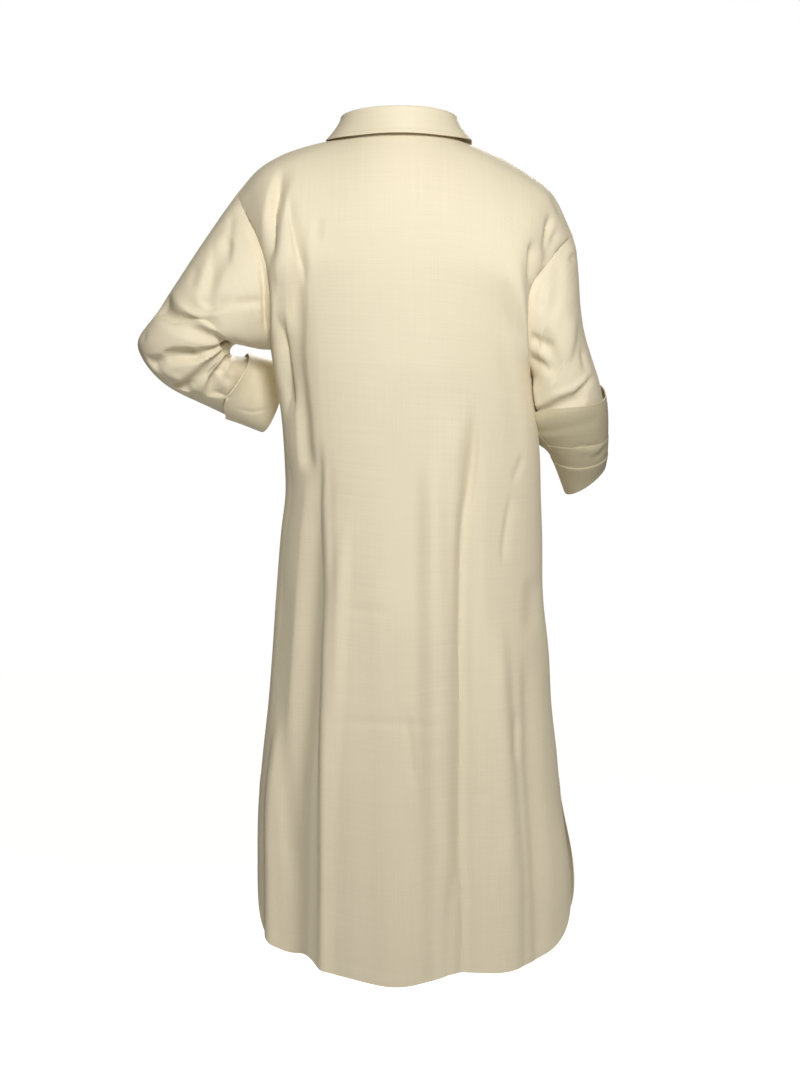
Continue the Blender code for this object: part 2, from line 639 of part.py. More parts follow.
def make_fall(material):
    """Collar fall: rises from the top of the stand, rolls over and lies outside it."""
    reach = 1 - 0.5 * FALL_FRONT_GAP
    turn = np.linspace(-reach, reach, COLLAR_COLUMNS + 1)
    points, out = neck_frame(turn)
    up = np.array([0.0, 0.0, 1.0])
    stand = collar_value("stand", turn)
    lower_reach = collar_value("reach", turn)
    drop = collar_value("drop", turn)
    lap = COLLAR_WALL + 2 * SEAM_GAP
    base = points + up * (stand + 3 * SEAM_GAP + STAND_LIFT)[:, None]
    base = base + out * (lap - STAND_TILT)
    sections = []
    for row in range(FALL_ROWS + 1):
        if row <= ROLL_ROWS:
            angle = math.pi * row / ROLL_ROWS
            away = 0.5 * ROLL_OUT * (1 - math.cos(angle)) * np.ones_like(turn)
            lift = ROLL_HEIGHT * math.sin(angle) * np.ones_like(turn)
        else:
            down = (row - ROLL_ROWS) / (FALL_ROWS - ROLL_ROWS)
            away = ROLL_OUT + (lower_reach - ROLL_OUT) * down ** FALL_CURVE
            lift = -(drop - ROLL_HEIGHT) * down
        sections.append(base + out * away[:, None] + up * lift[:, None])
    outer = np.array(sections)
    normals = grid_normals(outer, closed=False)
    middle = len(turn) // 2
    if normals[-1, middle, 1] < 0:
        normals = -normals
    return wall_object("collar_fall", outer, outer - COLLAR_WALL * normals, material)


def placket_grid(front, low_rows):
    """Front strip: the middle columns of the front panel moved out, from the neck down."""
    points, walls = front
    middle = FRONT_COLUMNS // 2
    columns = slice(middle - PLACKET_HALF_COLUMNS, middle + PLACKET_HALF_COLUMNS + 1)
    first = low_rows - PLACKET_LOW_ROWS
    rows = slice(first, low_rows + ARM_ROWS)
    inner = points[rows, columns] + SEAM_GAP * walls[rows, columns]
    return inner, walls[rows, columns]


def button_mesh():
    """A button with a raised rim: a disc whose top face is inset and sunk."""
    mesh = bmesh.new()
    bmesh.ops.create_cone(mesh, cap_ends=True, segments=BUTTON_SIDES, radius1=BUTTON_RADIUS,
                          radius2=BUTTON_TAPER * BUTTON_RADIUS, depth=BUTTON_THICKNESS)
    top = [face for face in mesh.faces if face.normal.z > 0.9]
    bmesh.ops.inset_region(mesh, faces=top, thickness=BUTTON_RIM * BUTTON_RADIUS)
    bmesh.ops.translate(mesh, verts=top[0].verts, vec=(0, 0, -BUTTON_DISH * BUTTON_THICKNESS))
    bmesh.ops.triangulate(mesh, faces=mesh.faces)
    data = bpy.data.meshes.new("button")
    mesh.to_mesh(data)
    mesh.free()
    return data


def place_button(name, data, point, normal):
    """Stands a button on a point of the cloth with its face along the normal."""
    axis = Vector(normal).normalized()
    piece = bpy.data.objects.new(name, data)
    piece.location = Vector(point) + axis * (0.5 * BUTTON_THICKNESS + SEAM_GAP)
    piece.rotation_mode = "QUATERNION"
    piece.rotation_quaternion = axis.to_track_quat("Z", "Y")
    ROBE.objects.link(piece)


def make_robe():
    cream = cloth_material("cream cotton", CREAM, 0.55)
    shade = cloth_material("cream cotton wrong side", CREAM_SHADE, 0.62)
    horn = cloth_material("cream button", BUTTON_CREAM, 0.35)

    back = panel_grid("back", BACK_COLUMNS, BACK_LOW_ROWS)
    front = panel_grid("front", FRONT_COLUMNS, FRONT_LOW_ROWS)
    wall_object("back_panel", back[0], back[0] - CLOTH_WALL * back[1], cream)
    wall_object("front_panel", front[0], front[0] - CLOTH_WALL * front[1], cream)

    low_rows = (BACK_LOW_ROWS, FRONT_LOW_ROWS)
    sleeves = (
        ("left", -1, SLEEVE_LEFT, CREASES_LEFT),
        ("right", 0, SLEEVE_RIGHT, CREASES_RIGHT),
    )
    for name, edge, rings, creases in sleeves:
        side = 1 if name == "left" else -1
        loop, walls = armhole_loop(back, front, edge, low_rows)
        grid = sleeve_grid(rings, loop, walls, creases, side)
        make_sleeve("sleeve_" + name, grid, cream)
        cuff = cuff_grid(grid, name)
        make_cuff("cuff_" + name, cuff, shade)
        if name == "right":
            make_sleeve_placket("sleeve_placket_right", cuff, shade)

    make_stand(cream)
    make_fall(cream)
    inner, walls = placket_grid(front, FRONT_LOW_ROWS)
    wall_object("front_placket", inner + BAND_WALL * walls, inner, cream)
    data = button_mesh()
    data.materials.append(horn)
    middle = PLACKET_HALF_COLUMNS
    for number, height in enumerate(BUTTON_HEIGHTS, start=1):
        heights = inner[:, middle, 2]
        point = [np.interp(height, heights, inner[:, middle, axis]) for axis in range(3)]
        normal = [np.interp(height, heights, walls[:, middle, axis]) for axis in range(3)]
        raised = np.array(point) + BAND_WALL * unit(np.array(normal))
        place_button("button_%d" % number, data, raised, normal)


for old in list(bpy.data.objects):
    bpy.data.objects.remove(old, do_unlink=True)
ROBE = bpy.data.collections.new("thobe robe")
bpy.context.scene.collection.children.link(ROBE)
make_robe()
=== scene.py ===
"""Thobe robe: its finished cloth, sewing and buttons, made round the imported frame.

Metres, +Z up, the wearer faces -Y and the wearer's left is +X.
"""
import math

import bmesh
import bpy
import numpy as np
from mathutils import Matrix, Vector


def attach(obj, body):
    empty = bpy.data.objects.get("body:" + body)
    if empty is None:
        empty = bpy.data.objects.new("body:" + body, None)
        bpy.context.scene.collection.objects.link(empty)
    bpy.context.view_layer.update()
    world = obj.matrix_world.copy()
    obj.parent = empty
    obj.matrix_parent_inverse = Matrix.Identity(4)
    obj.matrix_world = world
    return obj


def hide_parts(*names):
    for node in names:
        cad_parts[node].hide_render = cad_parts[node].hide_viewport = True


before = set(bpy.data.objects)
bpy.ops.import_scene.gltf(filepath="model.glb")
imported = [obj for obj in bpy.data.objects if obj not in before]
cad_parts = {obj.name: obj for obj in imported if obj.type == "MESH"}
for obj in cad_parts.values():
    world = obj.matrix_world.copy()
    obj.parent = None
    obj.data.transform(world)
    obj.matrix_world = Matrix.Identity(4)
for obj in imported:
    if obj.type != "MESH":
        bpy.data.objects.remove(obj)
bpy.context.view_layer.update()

bl_info = {
    "name": "Thobe robe",
    "version": (1, 0, 0),
    "blender": (4, 5, 0),
    "location": "3D View > Sidebar > Robe",
    "description": "Cloth, stitching and buttons of a long shirt robe",
    "category": "Object",
}

# Mesh density: columns and rows of each grid of points, and how rows lie up the armholes
BACK_COLUMNS = 176
FRONT_COLUMNS = 144
BACK_LOW_ROWS = 160
FRONT_LOW_ROWS = 130
ARM_ROWS = 80
SLEEVE_RINGS = 150
CUFF_RINGS = 40
COLLAR_COLUMNS = 160
FALL_ROWS = 30
STAND_ROWS = 8
STAND_LAP_COLUMNS = COLLAR_COLUMNS // 24
PLACKET_HALF_COLUMNS = round(FRONT_COLUMNS / 32)
PLACKET_LOW_ROWS = round(FRONT_LOW_ROWS * 2 / 17)
RISE_EVEN_SHARE = 0.55
RISE_ROUND_SHARE = 0.45
SMALL = 1e-9

# Angle in degrees from which an edge of a piece looks sharp
SHARP_ANGLE = 55

# Thickness of the collar, and the gap between neighbouring pieces
COLLAR_WALL = 0.0016
SEAM_GAP = 0.0003

# Body sections below the arms: half widths and depths at each height
BODY_COLUMNS = ("height", "left", "right", "back", "front")
BODY_ROWS = (
    (-1.200, 0.200, 0.244, 0.128, 0.128),
    (-1.120, 0.202, 0.243, 0.127, 0.127),
    (-1.050, 0.202, 0.242, 0.125, 0.126),
    (-0.937, 0.201, 0.229, 0.121, 0.124),
    (-0.868, 0.195, 0.223, 0.119, 0.123),
    (-0.794, 0.187, 0.215, 0.117, 0.122),
    (-0.730, 0.182, 0.212, 0.114, 0.121),
    (-0.639, 0.176, 0.203, 0.109, 0.119),
    (-0.552, 0.169, 0.202, 0.104, 0.117),
    (-0.498, 0.163, 0.200, 0.101, 0.116),
    (-0.457, 0.164, 0.199, 0.100, 0.116),
    (-0.373, 0.171, 0.192, 0.102, 0.117),
    (-0.335, 0.178, 0.186, 0.104, 0.117),
    (-0.296, 0.184, 0.183, 0.106, 0.116),
)
SIDE_ROUNDNESS = 0.80
LOW_SIDE_ROUNDNESS = 1.18
ROUNDNESS_TOP = -0.36
ROUNDNESS_SPAN = 0.26

# Armholes, from the underarm (rise 0) to the shoulder point (rise 1)
UNDERARM_LEFT = -0.296
UNDERARM_RIGHT = -0.335
ARMHOLE_COLUMNS = ("rise", "half", "back", "front")
ARMHOLE_LEFT = (
    (0.00, 0.1840, 0.000, 0.000),
    (0.06, 0.1825, 0.028, 0.028),
    (0.19, 0.1815, 0.052, 0.050),
    (0.39, 0.1830, 0.064, 0.060),
    (0.54, 0.1890, 0.061, 0.057),
    (0.68, 0.1995, 0.051, 0.048),
    (0.85, 0.2180, 0.032, 0.031),
    (0.95, 0.2275, 0.015, 0.015),
    (1.00, 0.2306, 0.000, 0.000),
)
ARMHOLE_RIGHT = (
    (0.00, 0.1860, 0.000, 0.000),
    (0.06, 0.1835, 0.026, 0.028),
    (0.20, 0.1800, 0.050, 0.050),
    (0.40, 0.1790, 0.064, 0.060),
    (0.62, 0.1850, 0.062, 0.057),
    (0.76, 0.2050, 0.050, 0.048),
    (0.88, 0.2240, 0.034, 0.034),
    (0.96, 0.2390, 0.016, 0.016),
    (1.00, 0.2449, 0.000, 0.000),
)
SHOULDER_ROUND = 3.2
EDGE_FLATNESS = 4
EDGE_SHARPENING = 9
EDGE_SOFT_RISE = 0.45

# How far the change of slope above the underarms is evened out, in rows, and how often
UNDERARM_SOFT_ROWS = 12.0
UNDERARM_SIDE_POWER = 8
UNDERARM_PASSES = 60

# Shoulder seams, from the neck corner (along 0) to the shoulder point (along 1)
SHOULDER_COLUMNS = ("along", "left_x", "left_z", "right_x", "right_z")
SHOULDER_ROWS = (
    (0.0, 0.0790, 0.0050, 0.0760, 0.0050),
    (0.2, 0.1080, 0.0000, 0.1070, -0.0065),
    (0.4, 0.1390, -0.0080, 0.1440, -0.0230),
    (0.6, 0.1700, -0.0195, 0.1820, -0.0460),
    (0.8, 0.2020, -0.0395, 0.2180, -0.0760),
    (1.0, 0.2306, -0.0720, 0.2449, -0.1310),
)

# Neckline
NECK_SHARE = 0.375
NECK_BACK_Y = 0.060
NECK_FRONT_Y = -0.068
NECK_BACK_Z = 0.009
NECK_FRONT_Z = -0.072
NECK_FULLNESS = 4.2
NECK_BLEND_START = 0.25
NECK_FRONT_CURVE = 1.5
NECK_STEP = 1e-3

# Where the panels are evened out below the neckline's corners, and how often
NECK_SOFT_START = 0.9
NECK_SOFT_SPAN = 0.5
NECK_SOFT_HOLD = 0.10
NECK_SOFT_SIDE = 0.62
NECK_SOFT_SIDE_SPAN = 0.22
NECK_SOFT_PASSES = 260

# Hem and side vents
HEM_COLUMNS = ("across", "back", "front")
HEM_ROWS = (
    (-1.00, -1.152, -1.138),
    (-0.60, -1.152, -1.138),
    (-0.37, -1.166, -1.146),
    (-0.20, -1.164, -1.152),
    (-0.02, -1.181, -1.158),
    (0.22, -1.171, -1.152),
    (0.38, -1.157, -1.144),
    (0.43, -1.148, -1.142),
    (0.62, -1.146, -1.138),
    (1.00, -1.146, -1.138),
)
HEM_CORNER_START = 0.55
HEM_CORNER_RISE = 0.108
HEM_CORNER_POWER = 1.6
VENT_TOP = -0.905
VENT_LENGTH = 0.12
VENT_SHARPNESS = 12
VENT_SPREAD = 0.010
VENT_FRONT_FLARE = 0.007

# Long folds of the panels, with the lengths over which they start and end
FOLD_FADE = 0.12
FOLD_HEM_FADE = 0.03
FOLD_HEM_START = 0.6
FOLD_SIDE_POWER = 10
FOLD_TOP = 1.55
# place across at the upper end, at the lower end, upper height, lower height, half width, depth
BACK_FOLDS = (
    (0.49, 0.56, -0.44, -1.22, 0.150, -0.011),
    (0.31, 0.36, -0.52, -1.22, 0.070, 0.006),
    (-0.33, -0.29, -0.38, -1.22, 0.090, -0.005),
    (-0.14, -0.15, -0.42, -1.22, 0.080, 0.007),
    (-0.46, -0.44, -0.66, -1.22, 0.080, 0.007),
    (0.62, 0.60, -0.10, -0.46, 0.100, -0.007),
    (-0.60, -0.62, -0.14, -0.44, 0.120, -0.0015),
    (0.74, 0.72, -0.80, -1.22, 0.080, 0.006),
)
FRONT_FOLDS = (
    (0.45, 0.50, -0.40, -1.20, 0.090, -0.010),
    (0.28, 0.33, -0.46, -1.20, 0.080, 0.006),
    (-0.40, -0.44, -0.42, -1.20, 0.090, -0.011),
    (-0.24, -0.28, -0.50, -1.20, 0.080, 0.006),
    (-0.62, -0.64, -0.62, -1.20, 0.080, 0.006),
    (0.66, 0.68, -0.66, -1.20, 0.080, 0.005),
)

# Sleeves: each ring runs from its outer point to its inner point, bulging by its depth
# towards its back side, which yaws and leans (degrees) as the forearm turns
RING_COLUMNS = ("place", "outer_x", "outer_y", "outer_z",
                "inner_x", "inner_y", "inner_z", "depth", "yaw", "lean")
SLEEVE_LEFT = (
    (0.00, 0.2306, 0.000, -0.072, 0.1840, 0.000, -0.2960, 0.062, 0, 0),
    (0.12, 0.2530, 0.002, -0.103, 0.1950, 0.002, -0.2955, 0.067, 0, 0),
    (0.25, 0.2840, 0.006, -0.149, 0.2050, 0.006, -0.2940, 0.068, 0, 0),
    (0.38, 0.3150, 0.012, -0.198, 0.2150, 0.012, -0.2920, 0.065, 0, 0),
    (0.50, 0.3460, 0.018, -0.247, 0.2260, 0.016, -0.2890, 0.060, -1, 0),
    (0.58, 0.3700, 0.020, -0.282, 0.2350, 0.010, -0.2890, 0.056, -5, 8),
    (0.66, 0.3650, 0.018, -0.310, 0.2420, 0.000, -0.2925, 0.052, -13, 20),
    (0.74, 0.3420, 0.004, -0.339, 0.2440, -0.014, -0.2970, 0.048, -26, 27),
    (0.82, 0.3060, -0.017, -0.362, 0.2390, -0.036, -0.3005, 0.044, -30, 20),
    (0.90, 0.2500, -0.052, -0.384, 0.2200, -0.074, -0.3020, 0.039, -26, 4),
    (1.00, 0.2020, -0.088, -0.406, 0.1740, -0.110, -0.3080, 0.036, -22, -4),
)
SLEEVE_RIGHT = (
    (0.00, -0.2449, 0.000, -0.131, -0.1860, 0.000, -0.3350, 0.062, 0, 0),
    (0.12, -0.2510, 0.000, -0.153, -0.1885, -0.004, -0.3420, 0.067, 0, 0),
    (0.25, -0.2545, 0.000, -0.192, -0.1885, -0.008, -0.3520, 0.070, 0, 0),
    (0.38, -0.2570, 0.004, -0.236, -0.1880, -0.014, -0.3640, 0.069, 0, 0),
    (0.50, -0.2630, 0.008, -0.276, -0.1880, -0.022, -0.3760, 0.066, 0, 3),
    (0.60, -0.2730, 0.010, -0.310, -0.1890, -0.028, -0.3900, 0.062, 0, 12),
    (0.70, -0.2850, 0.004, -0.345, -0.1950, -0.032, -0.4040, 0.056, -1, 22),
    (0.80, -0.2930, -0.016, -0.384, -0.2060, -0.040, -0.4190, 0.049, -1, 30),
    (0.90, -0.2960, -0.046, -0.424, -0.2220, -0.054, -0.4450, 0.043, 2, 31),
    (1.00, -0.2950, -0.078, -0.453, -0.2420, -0.082, -0.4930, 0.036, 8, 24),
)
SLEEVE_SQUARENESS = 0.88
ARMHOLE_REACH = 0.45

# How sleeve cloth lies against the body's side, below the underarm
BODY_CLEARANCE = 0.0015
BODY_PRESS = 0.011
BODY_PRESS_TOP = 0.004
BODY_PRESS_FADE = 0.02

# Creases of the sleeves: turn 0 is the outer side, 0.25 back, 0.5 inner, 0.75 front
# place and turn at one end, place and turn at the other, half width, depth
CREASES_LEFT = (
    (0.47, 0.06, 0.56, 0.42, 0.050, -0.009),
    (0.66, 0.10, 0.60, 0.42, 0.036, -0.009),
    (0.76, 0.12, 0.64, 0.43, 0.034, -0.008),
    (0.84, 0.16, 0.70, 0.42, 0.030, -0.006),
    (0.50, 0.90, 0.52, 0.62, 0.050, -0.003),
    (0.74, 0.90, 0.70, 0.64, 0.045, -0.002),
    (0.16, 0.14, 0.36, 0.22, 0.045, -0.005),
    (0.14, 0.84, 0.36, 0.76, 0.045, -0.005),
)
CREASES_RIGHT = (
    (0.56, 0.40, 0.66, 0.16, 0.040, -0.006),
    (0.68, 0.38, 0.76, 0.14, 0.036, -0.0012),
    (0.62, 0.88, 0.70, 0.60, 0.045, -0.009),
    (0.74, 0.88, 0.76, 0.60, 0.040, -0.008),
    (0.20, 0.30, 0.48, 0.24, 0.050, -0.005),
    (0.20, 0.70, 0.48, 0.76, 0.050, -0.005),
)

# Places along a sleeve over which its creases start, and end under its cuff
SLEEVE_FOLD_FADE = 0.15
SLEEVE_CREASE_FADE = 0.05
UNDER_CUFF_START = 0.01
UNDER_CUFF_FADE = 0.05
CREASE_SMOOTHING = 2

# Turned-back cuffs: the free edge by turn round the arm, as a place along the sleeve
CUFF_START_COLUMNS = ("turn", "left", "right")
CUFF_START_ROWS = (
    (0.00, 0.900, 0.745),
    (0.12, 0.866, 0.715),
    (0.25, 0.850, 0.645),
    (0.38, 0.862, 0.560),
    (0.50, 0.892, 0.515),
    (0.62, 0.915, 0.560),
    (0.75, 0.925, 0.640),
    (0.88, 0.920, 0.715),
    (1.00, 0.900, 0.745),
)
CUFF_STANDOFF = 0.0014
CUFF_FLARE = 0.0024
CUFF_OVERHANG = 0.004

# Strip along the opening of the right sleeve, as a share of the turn and of the cuff's length
SLEEVE_STRIP_TURN = (0.375, 0.458)
SLEEVE_STRIP_LENGTH = 0.6

# Collar, measured from the neck seam
COLLAR_TURN_COLUMNS = ("turn", "stand", "reach", "drop")
COLLAR_TURN_ROWS = (
    (0.00, 0.0270, 0.0082, 0.0386),
    (0.25, 0.0270, 0.0094, 0.0376),
    (0.50, 0.0255, 0.0260, 0.0325),
    (0.63, 0.0250, 0.0320, 0.0290),
    (0.78, 0.0245, 0.0360, 0.0375),
    (1.00, 0.0240, 0.0400, 0.0620),
)
STAND_TILT = 0.0025
ROLL_SHARE = 3 / 7
ROLL_HEIGHT = 0.0042
ROLL_OUT = 0.0060
STAND_LIFT = 0.0006
STAND_LAP_START = 0.80
STAND_LAP_SPAN = 0.14
FALL_CURVE = 1.3
FALL_FRONT_GAP = 0.085

# Front closure
BUTTON_HEIGHTS = (-0.130, -0.205, -0.280, -0.355)

# Buttons: their section as shares of the radius and of the thickness, and their holes
BUTTON_PROFILE = (
    (0.80, 0.00), (0.93, 0.08), (1.00, 0.34), (1.00, 0.70), (0.94, 0.93),
    (0.86, 1.00), (0.78, 0.96), (0.70, 0.78), (0.60, 0.70),
)
BUTTON_SIDES = 40
BUTTON_SHARP_ANGLE = 40
HOLE_PLACES = ((1, 1), (1, -1), (-1, 1), (-1, -1))
HOLE_OFFSET = 0.20
HOLE_RADIUS = 0.13
HOLE_SIDES = 14

# Creases laid on the cloth, one a row: widths to the wearer's left and right of a path that runs
# down, in millimetres; depth in tenths of a millimetre, below zero for a trough; how sharp its
# middle is; then the path's (x, z) places in millimetres
MILLIMETRES = 1000
TENTHS = 10000
BACK_CREASES = (
    (12, 20, -150, 0.5, (162, -37), (172, -74), (180, -114), (183, -153), (185, -197)),
    (10, 22, -55, 0.2, (177, -176), (177, -230), (177, -308)),
    (6, 16, -52, 0.8, (155, -74), (153, -120), (145, -158), (137, -187), (131, -222)),
    (12, 26, -150, 0.0, (169, -247), (168, -296), (165, -344), (162, -400)),
    (34, 40, -50, 0.0, (153, -192), (151, -275), (149, -372), (140, -469)),
    (12, 12, -16, 0.0, (112, -115), (117, -158)),
    (10, 7, -95, 0.6, (-214, -104), (-209, -135), (-202, -172)),
    (8, 7, -95, 0.6, (-225, -123), (-212, -157), (-197, -196)),
    (7, 14, -90, 0.4, (-185, -145), (-181, -215)),
    (8, 10, -50, 0.4, (-215, -72), (-222, -89), (-232, -112)),
    (110, 12, -80, 0.1, (116, -417), (111, -521), (107, -637), (111, -719), (114, -816),
     (115, -1260)),
    (60, 14, 75, 0.5, (110, -442), (106, -539), (104, -650), (107, -761), (110, -927),
     (111, -1260)),
    (16, 9, -62, 0.5, (-105, -361), (-104, -442), (-97, -496), (-90, -532), (-87, -578),
     (-85, -637), (-84, -719), (-85, -814), (-85, -991), (-89, -1063), (-87, -1274)),
    (50, 24, 56, 0.0, (-83, -373), (-72, -483), (-64, -581), (-61, -789), (-60, -997),
     (-53, -1274)),
    (20, 16, -50, 0.2, (-72, -997), (-65, -1094), (-60, -1260)),
    (16, 20, 34, 0.0, (-148, -955), (-141, -1038), (-139, -1260)),
    (6, 14, -30, 0.7, (-157, -492), (-151, -528), (-144, -574), (-143, -611)),
    (8, 10, -22, 0.5, (-175, -442), (-155, -492)),
    (8, 10, -24, 0.3, (-7, -797), (-12, -836), (-18, -911)),
    (8, 10, -24, 0.3, (-162, -800), (-160, -883)),
    (8, 8, -10, 0.0, (92, -662), (49, -664), (3, -667)),
    (9, 9, -12, 0.0, (103, -819), (28, -819), (-78, -822)),
    (8, 8, -10, 0.0, (-92, -919), (-133, -918)),
    (18, 18, -30, 0.0, (-187, -609), (-184, -707)),
    (14, 24, -40, 0.1, (-178, -705), (-180, -872), (-191, -1066), (-194, -1260)),
    (30, 26, -16, 0.0, (55, -594), (47, -872), (39, -1260)),
    (40, 40, -10, 0.0, (-6, -414), (3, -678)),
    (16, 20, -26, 0.0, (166, -594), (172, -789), (153, -1066)),
)
FRONT_CREASES = (
    (10, 18, -50, 0.3, (170, -60), (178, -110), (180, -165)),
    (12, 20, -42, 0.3, (176, -200), (164, -270), (140, -350)),
    (16, 18, -24, 0.3, (146, -90), (138, -150), (120, -205)),
    (12, 12, -42, 0.3, (-212, -120), (-202, -165), (-182, -205)),
    (14, 16, -36, 0.3, (-190, -235), (-160, -290), (-120, -345)),
    (34, 14, -68, 0.3, (150, -420), (135, -600), (140, -900), (136, -1150)),
    (18, 24, 30, 0.3, (78, -470), (82, -700), (90, -1000)),
    (14, 34, -66, 0.3, (-118, -440), (-122, -600), (-132, -850), (-136, -1150)),
    (24, 18, 28, 0.3, (-70, -520), (-74, -760), (-84, -1040)),
    (14, 14, -20, 0.3, (20, -560), (26, -800), (16, -1060)),
    (10, 14, -28, 0.3, (-178, -640), (-182, -780), (-190, -880)),
    (14, 16, -20, 0.3, (52, -380), (30, -470), (22, -540)),
    (14, 12, -26, 0.3, (170, -700), (172, -820), (180, -930)),
)
SLEEVE_BACK_CREASES_LEFT = (
    (8, 8, -22, 0.3, (193, -50), (194, -75), (193, -100)),
    (9, 10, -30, 0.4, (237, -99), (240, -148), (242, -198)),
    (9, 12, -30, 0.3, (260, -142), (264, -178), (267, -223)),
    (10, 10, -18, 0.0, (285, -178), (293, -217)),
    (11, 11, -130, 0.3, (215, -109), (201, -142), (191, -166), (186, -209), (185, -304)),
    (6, 16, -90, 0.6, (355, -237), (335, -247), (316, -258), (293, -261), (270, -261), (260, -269),
     (256, -282), (249, -289)),
    (10, 20, -60, 0.1, (318, -234), (286, -244), (267, -245), (249, -238), (226, -230)),
    (6, 12, -50, 0.5, (240, -240), (215, -236), (182, -234)),
    (7, 7, 16, 0.0, (307, -251), (271, -255), (229, -244)),
    (18, 4, -95, 0.5, (336, -313), (332, -305), (316, -302), (294, -302), (280, -305), (266, -309)),
    (6, 6, 50, 0.2, (337, -324), (326, -336), (309, -339), (288, -326), (265, -308), (247, -293)),
    (14, 6, -80, 0.3, (329, -340), (312, -349), (292, -343), (275, -331), (258, -312)),
    (6, 9, -40, 0.2, (321, -357), (301, -364), (276, -362)),
    (8, 8, -110, 0.7, (225, -293), (239, -302), (251, -317), (262, -331), (266, -344), (275, -365)),
    (7, 7, -65, 0.6, (255, -317), (242, -348)),
    (6, 5, -170, 0.3, (254, -287), (243, -292), (230, -293)),
    (8, 8, 22, 0.0, (234, -316), (241, -347), (251, -375)),
    (6, 6, -30, 0.4, (356, -275), (364, -287)),
)
SLEEVE_FRONT_CREASES_LEFT = (
    (12, 14, -32, 0.3, (236, -110), (240, -150), (236, -200)),
    (12, 12, -28, 0.3, (276, -160), (284, -200), (284, -236)),
    (14, 14, -40, 0.3, (320, -250), (290, -266), (254, -278)),
    (12, 12, -36, 0.3, (318, -290), (290, -296), (258, -296)),
    (10, 12, -34, 0.3, (296, -330), (272, -322), (250, -308)),
)
SLEEVE_BACK_CREASES_RIGHT = (
    (14, 8, -75, 0.3, (-177, -277), (-194, -288), (-206, -293), (-219, -297)),
    (13, 8, -75, 0.3, (-178, -307), (-199, -320), (-209, -327), (-219, -333)),
    (22, 10, 34, 0.2, (-244, -245), (-242, -282), (-237, -306), (-228, -324)),
    (6, 7, 44, 0.4, (-197, -372), (-220, -363), (-244, -355), (-258, -345), (-269, -333),
     (-275, -319)),
    (6, 8, -44, 0.4, (-243, -366), (-261, -350), (-275, -332)),
    (7, 8, -34, 0.3, (-256, -293), (-262, -331)),
    (14, 14, -20, 0.0, (-225, -159), (-219, -230), (-204, -272)),
    (8, 10, -30, 0.3, (-247, -159), (-242, -176)),
    (8, 10, -20, 0.1, (-194, -215), (-198, -251)),
)
SLEEVE_FRONT_CREASES_RIGHT = (
    (12, 14, -44, 0.3, (-258, -300), (-238, -318), (-206, -326)),
    (12, 12, -46, 0.3, (-270, -330), (-244, -350), (-210, -356)),
    (13, 13, -30, 0.3, (-240, -190), (-232, -240), (-218, -280)),
    (10, 12, -34, 0.3, (-276, -372), (-252, -386), (-222, -388)),
)
CUFF_CREASES_LEFT = (
    (10, 12, -20, 0.2, (195, -323), (184, -343), (176, -363)),
    (4, 6, -12, 0.7, (238, -377), (212, -382), (184, -375)),
)
CUFF_CREASES_RIGHT = (
    (4, 4, -18, 0.8, (-241, -438), (-259, -431), (-269, -433), (-289, -426)),
    (4, 3, 14, 0.3, (-252, -440), (-269, -439), (-289, -432)),
    (4, 4, -16, 0.6, (-272, -453), (-286, -442), (-296, -428)),
    (3, 4, 14, 0.3, (-263, -448), (-279, -439), (-292, -426)),
)

# Each sleeve's side of the body, its armhole's column in the panels, and its tables
SLEEVES = {
    "left": (1, -1, SLEEVE_LEFT, CREASES_LEFT,
             SLEEVE_BACK_CREASES_LEFT, SLEEVE_FRONT_CREASES_LEFT, CUFF_CREASES_LEFT),
    "right": (-1, 0, SLEEVE_RIGHT, CREASES_RIGHT,
              SLEEVE_BACK_CREASES_RIGHT, SLEEVE_FRONT_CREASES_RIGHT, CUFF_CREASES_RIGHT),
}

# Ends of creases, as a share of their length, and how creases fade on cloth that turns away
CREASE_END = 0.32
CREASE_LONGEST_END = 0.080
CREASE_FACING_GAIN = 2.5
SIDE_CREASE_POWER = 24
TOP_CREASE_START = 1.80
TOP_CREASE_FADE = 0.20

# Slow unevenness of the hanging cloth: waves a metre along x and z, start, height
WAVES = (
    (41.0, 5.0, 0.4, 0.00042),
    (23.0, -9.0, 1.7, 0.00050),
    (67.0, 13.0, 2.9, 0.00022),
    (11.0, 31.0, 4.1, 0.00030),
)
WAVE_BEND = 1.3
WAVE_BEND_RATE = 7

# Hem, turned up and sewn
HEM_TURN = 0.011
HEM_TURN_EDGE = 0.0015
HEM_TURN_RAISE = 0.00035

# Painted light and shade on the cuffs: the wrong side's colour is made lighter on the left cuff and
# darker on the right cuff, for how light falls on each
CUFF_PAINTED_LIGHT = {"left": (1.19, 1.22, 1.30), "right": (0.78, 0.78, 0.76)}

# Steps of the cloth on each cuff, as a share of its length from the free edge, and their height
CUFF_STEPS = {"left": (), "right": ((0.50, 0.0006), (0.77, 0.0012))}
CUFF_STEP_SPAN = 0.008
CUFF_STEP_PARTS = (-0.1, 0.3, 0.7, 1.1)

# Sewing: how far lines lie in from edges, and how far stitches lie above the cloth
STITCH_LIFT = 0.0001
COLLAR_STITCH_INSET = 0.0055
HEM_STITCH_INSET = 0.0100
VENT_STITCH_INSET = 0.0080
CUFF_STITCH_INSET = 0.0060
CUFF_FOLD_STITCH_INSET = 0.0040
SEAM_STITCH_INSET = 0.0050
PLACKET_STITCH_INSET = 0.0030
BUTTONHOLE_LENGTH = 0.0160
BUTTONHOLE_POINTS = 9
BUTTONHOLE_SIDES = (-0.0011, 0.0011)
BUTTONHOLE_ENDS = (-0.0014, 0.0, 0.0014)
TACK_LINES = 5
TACK_COLUMNS = 3
TACK_LIFT = 0.0002
TACK_PITCH = 0.00055
TACK_LENGTH = 0.0011

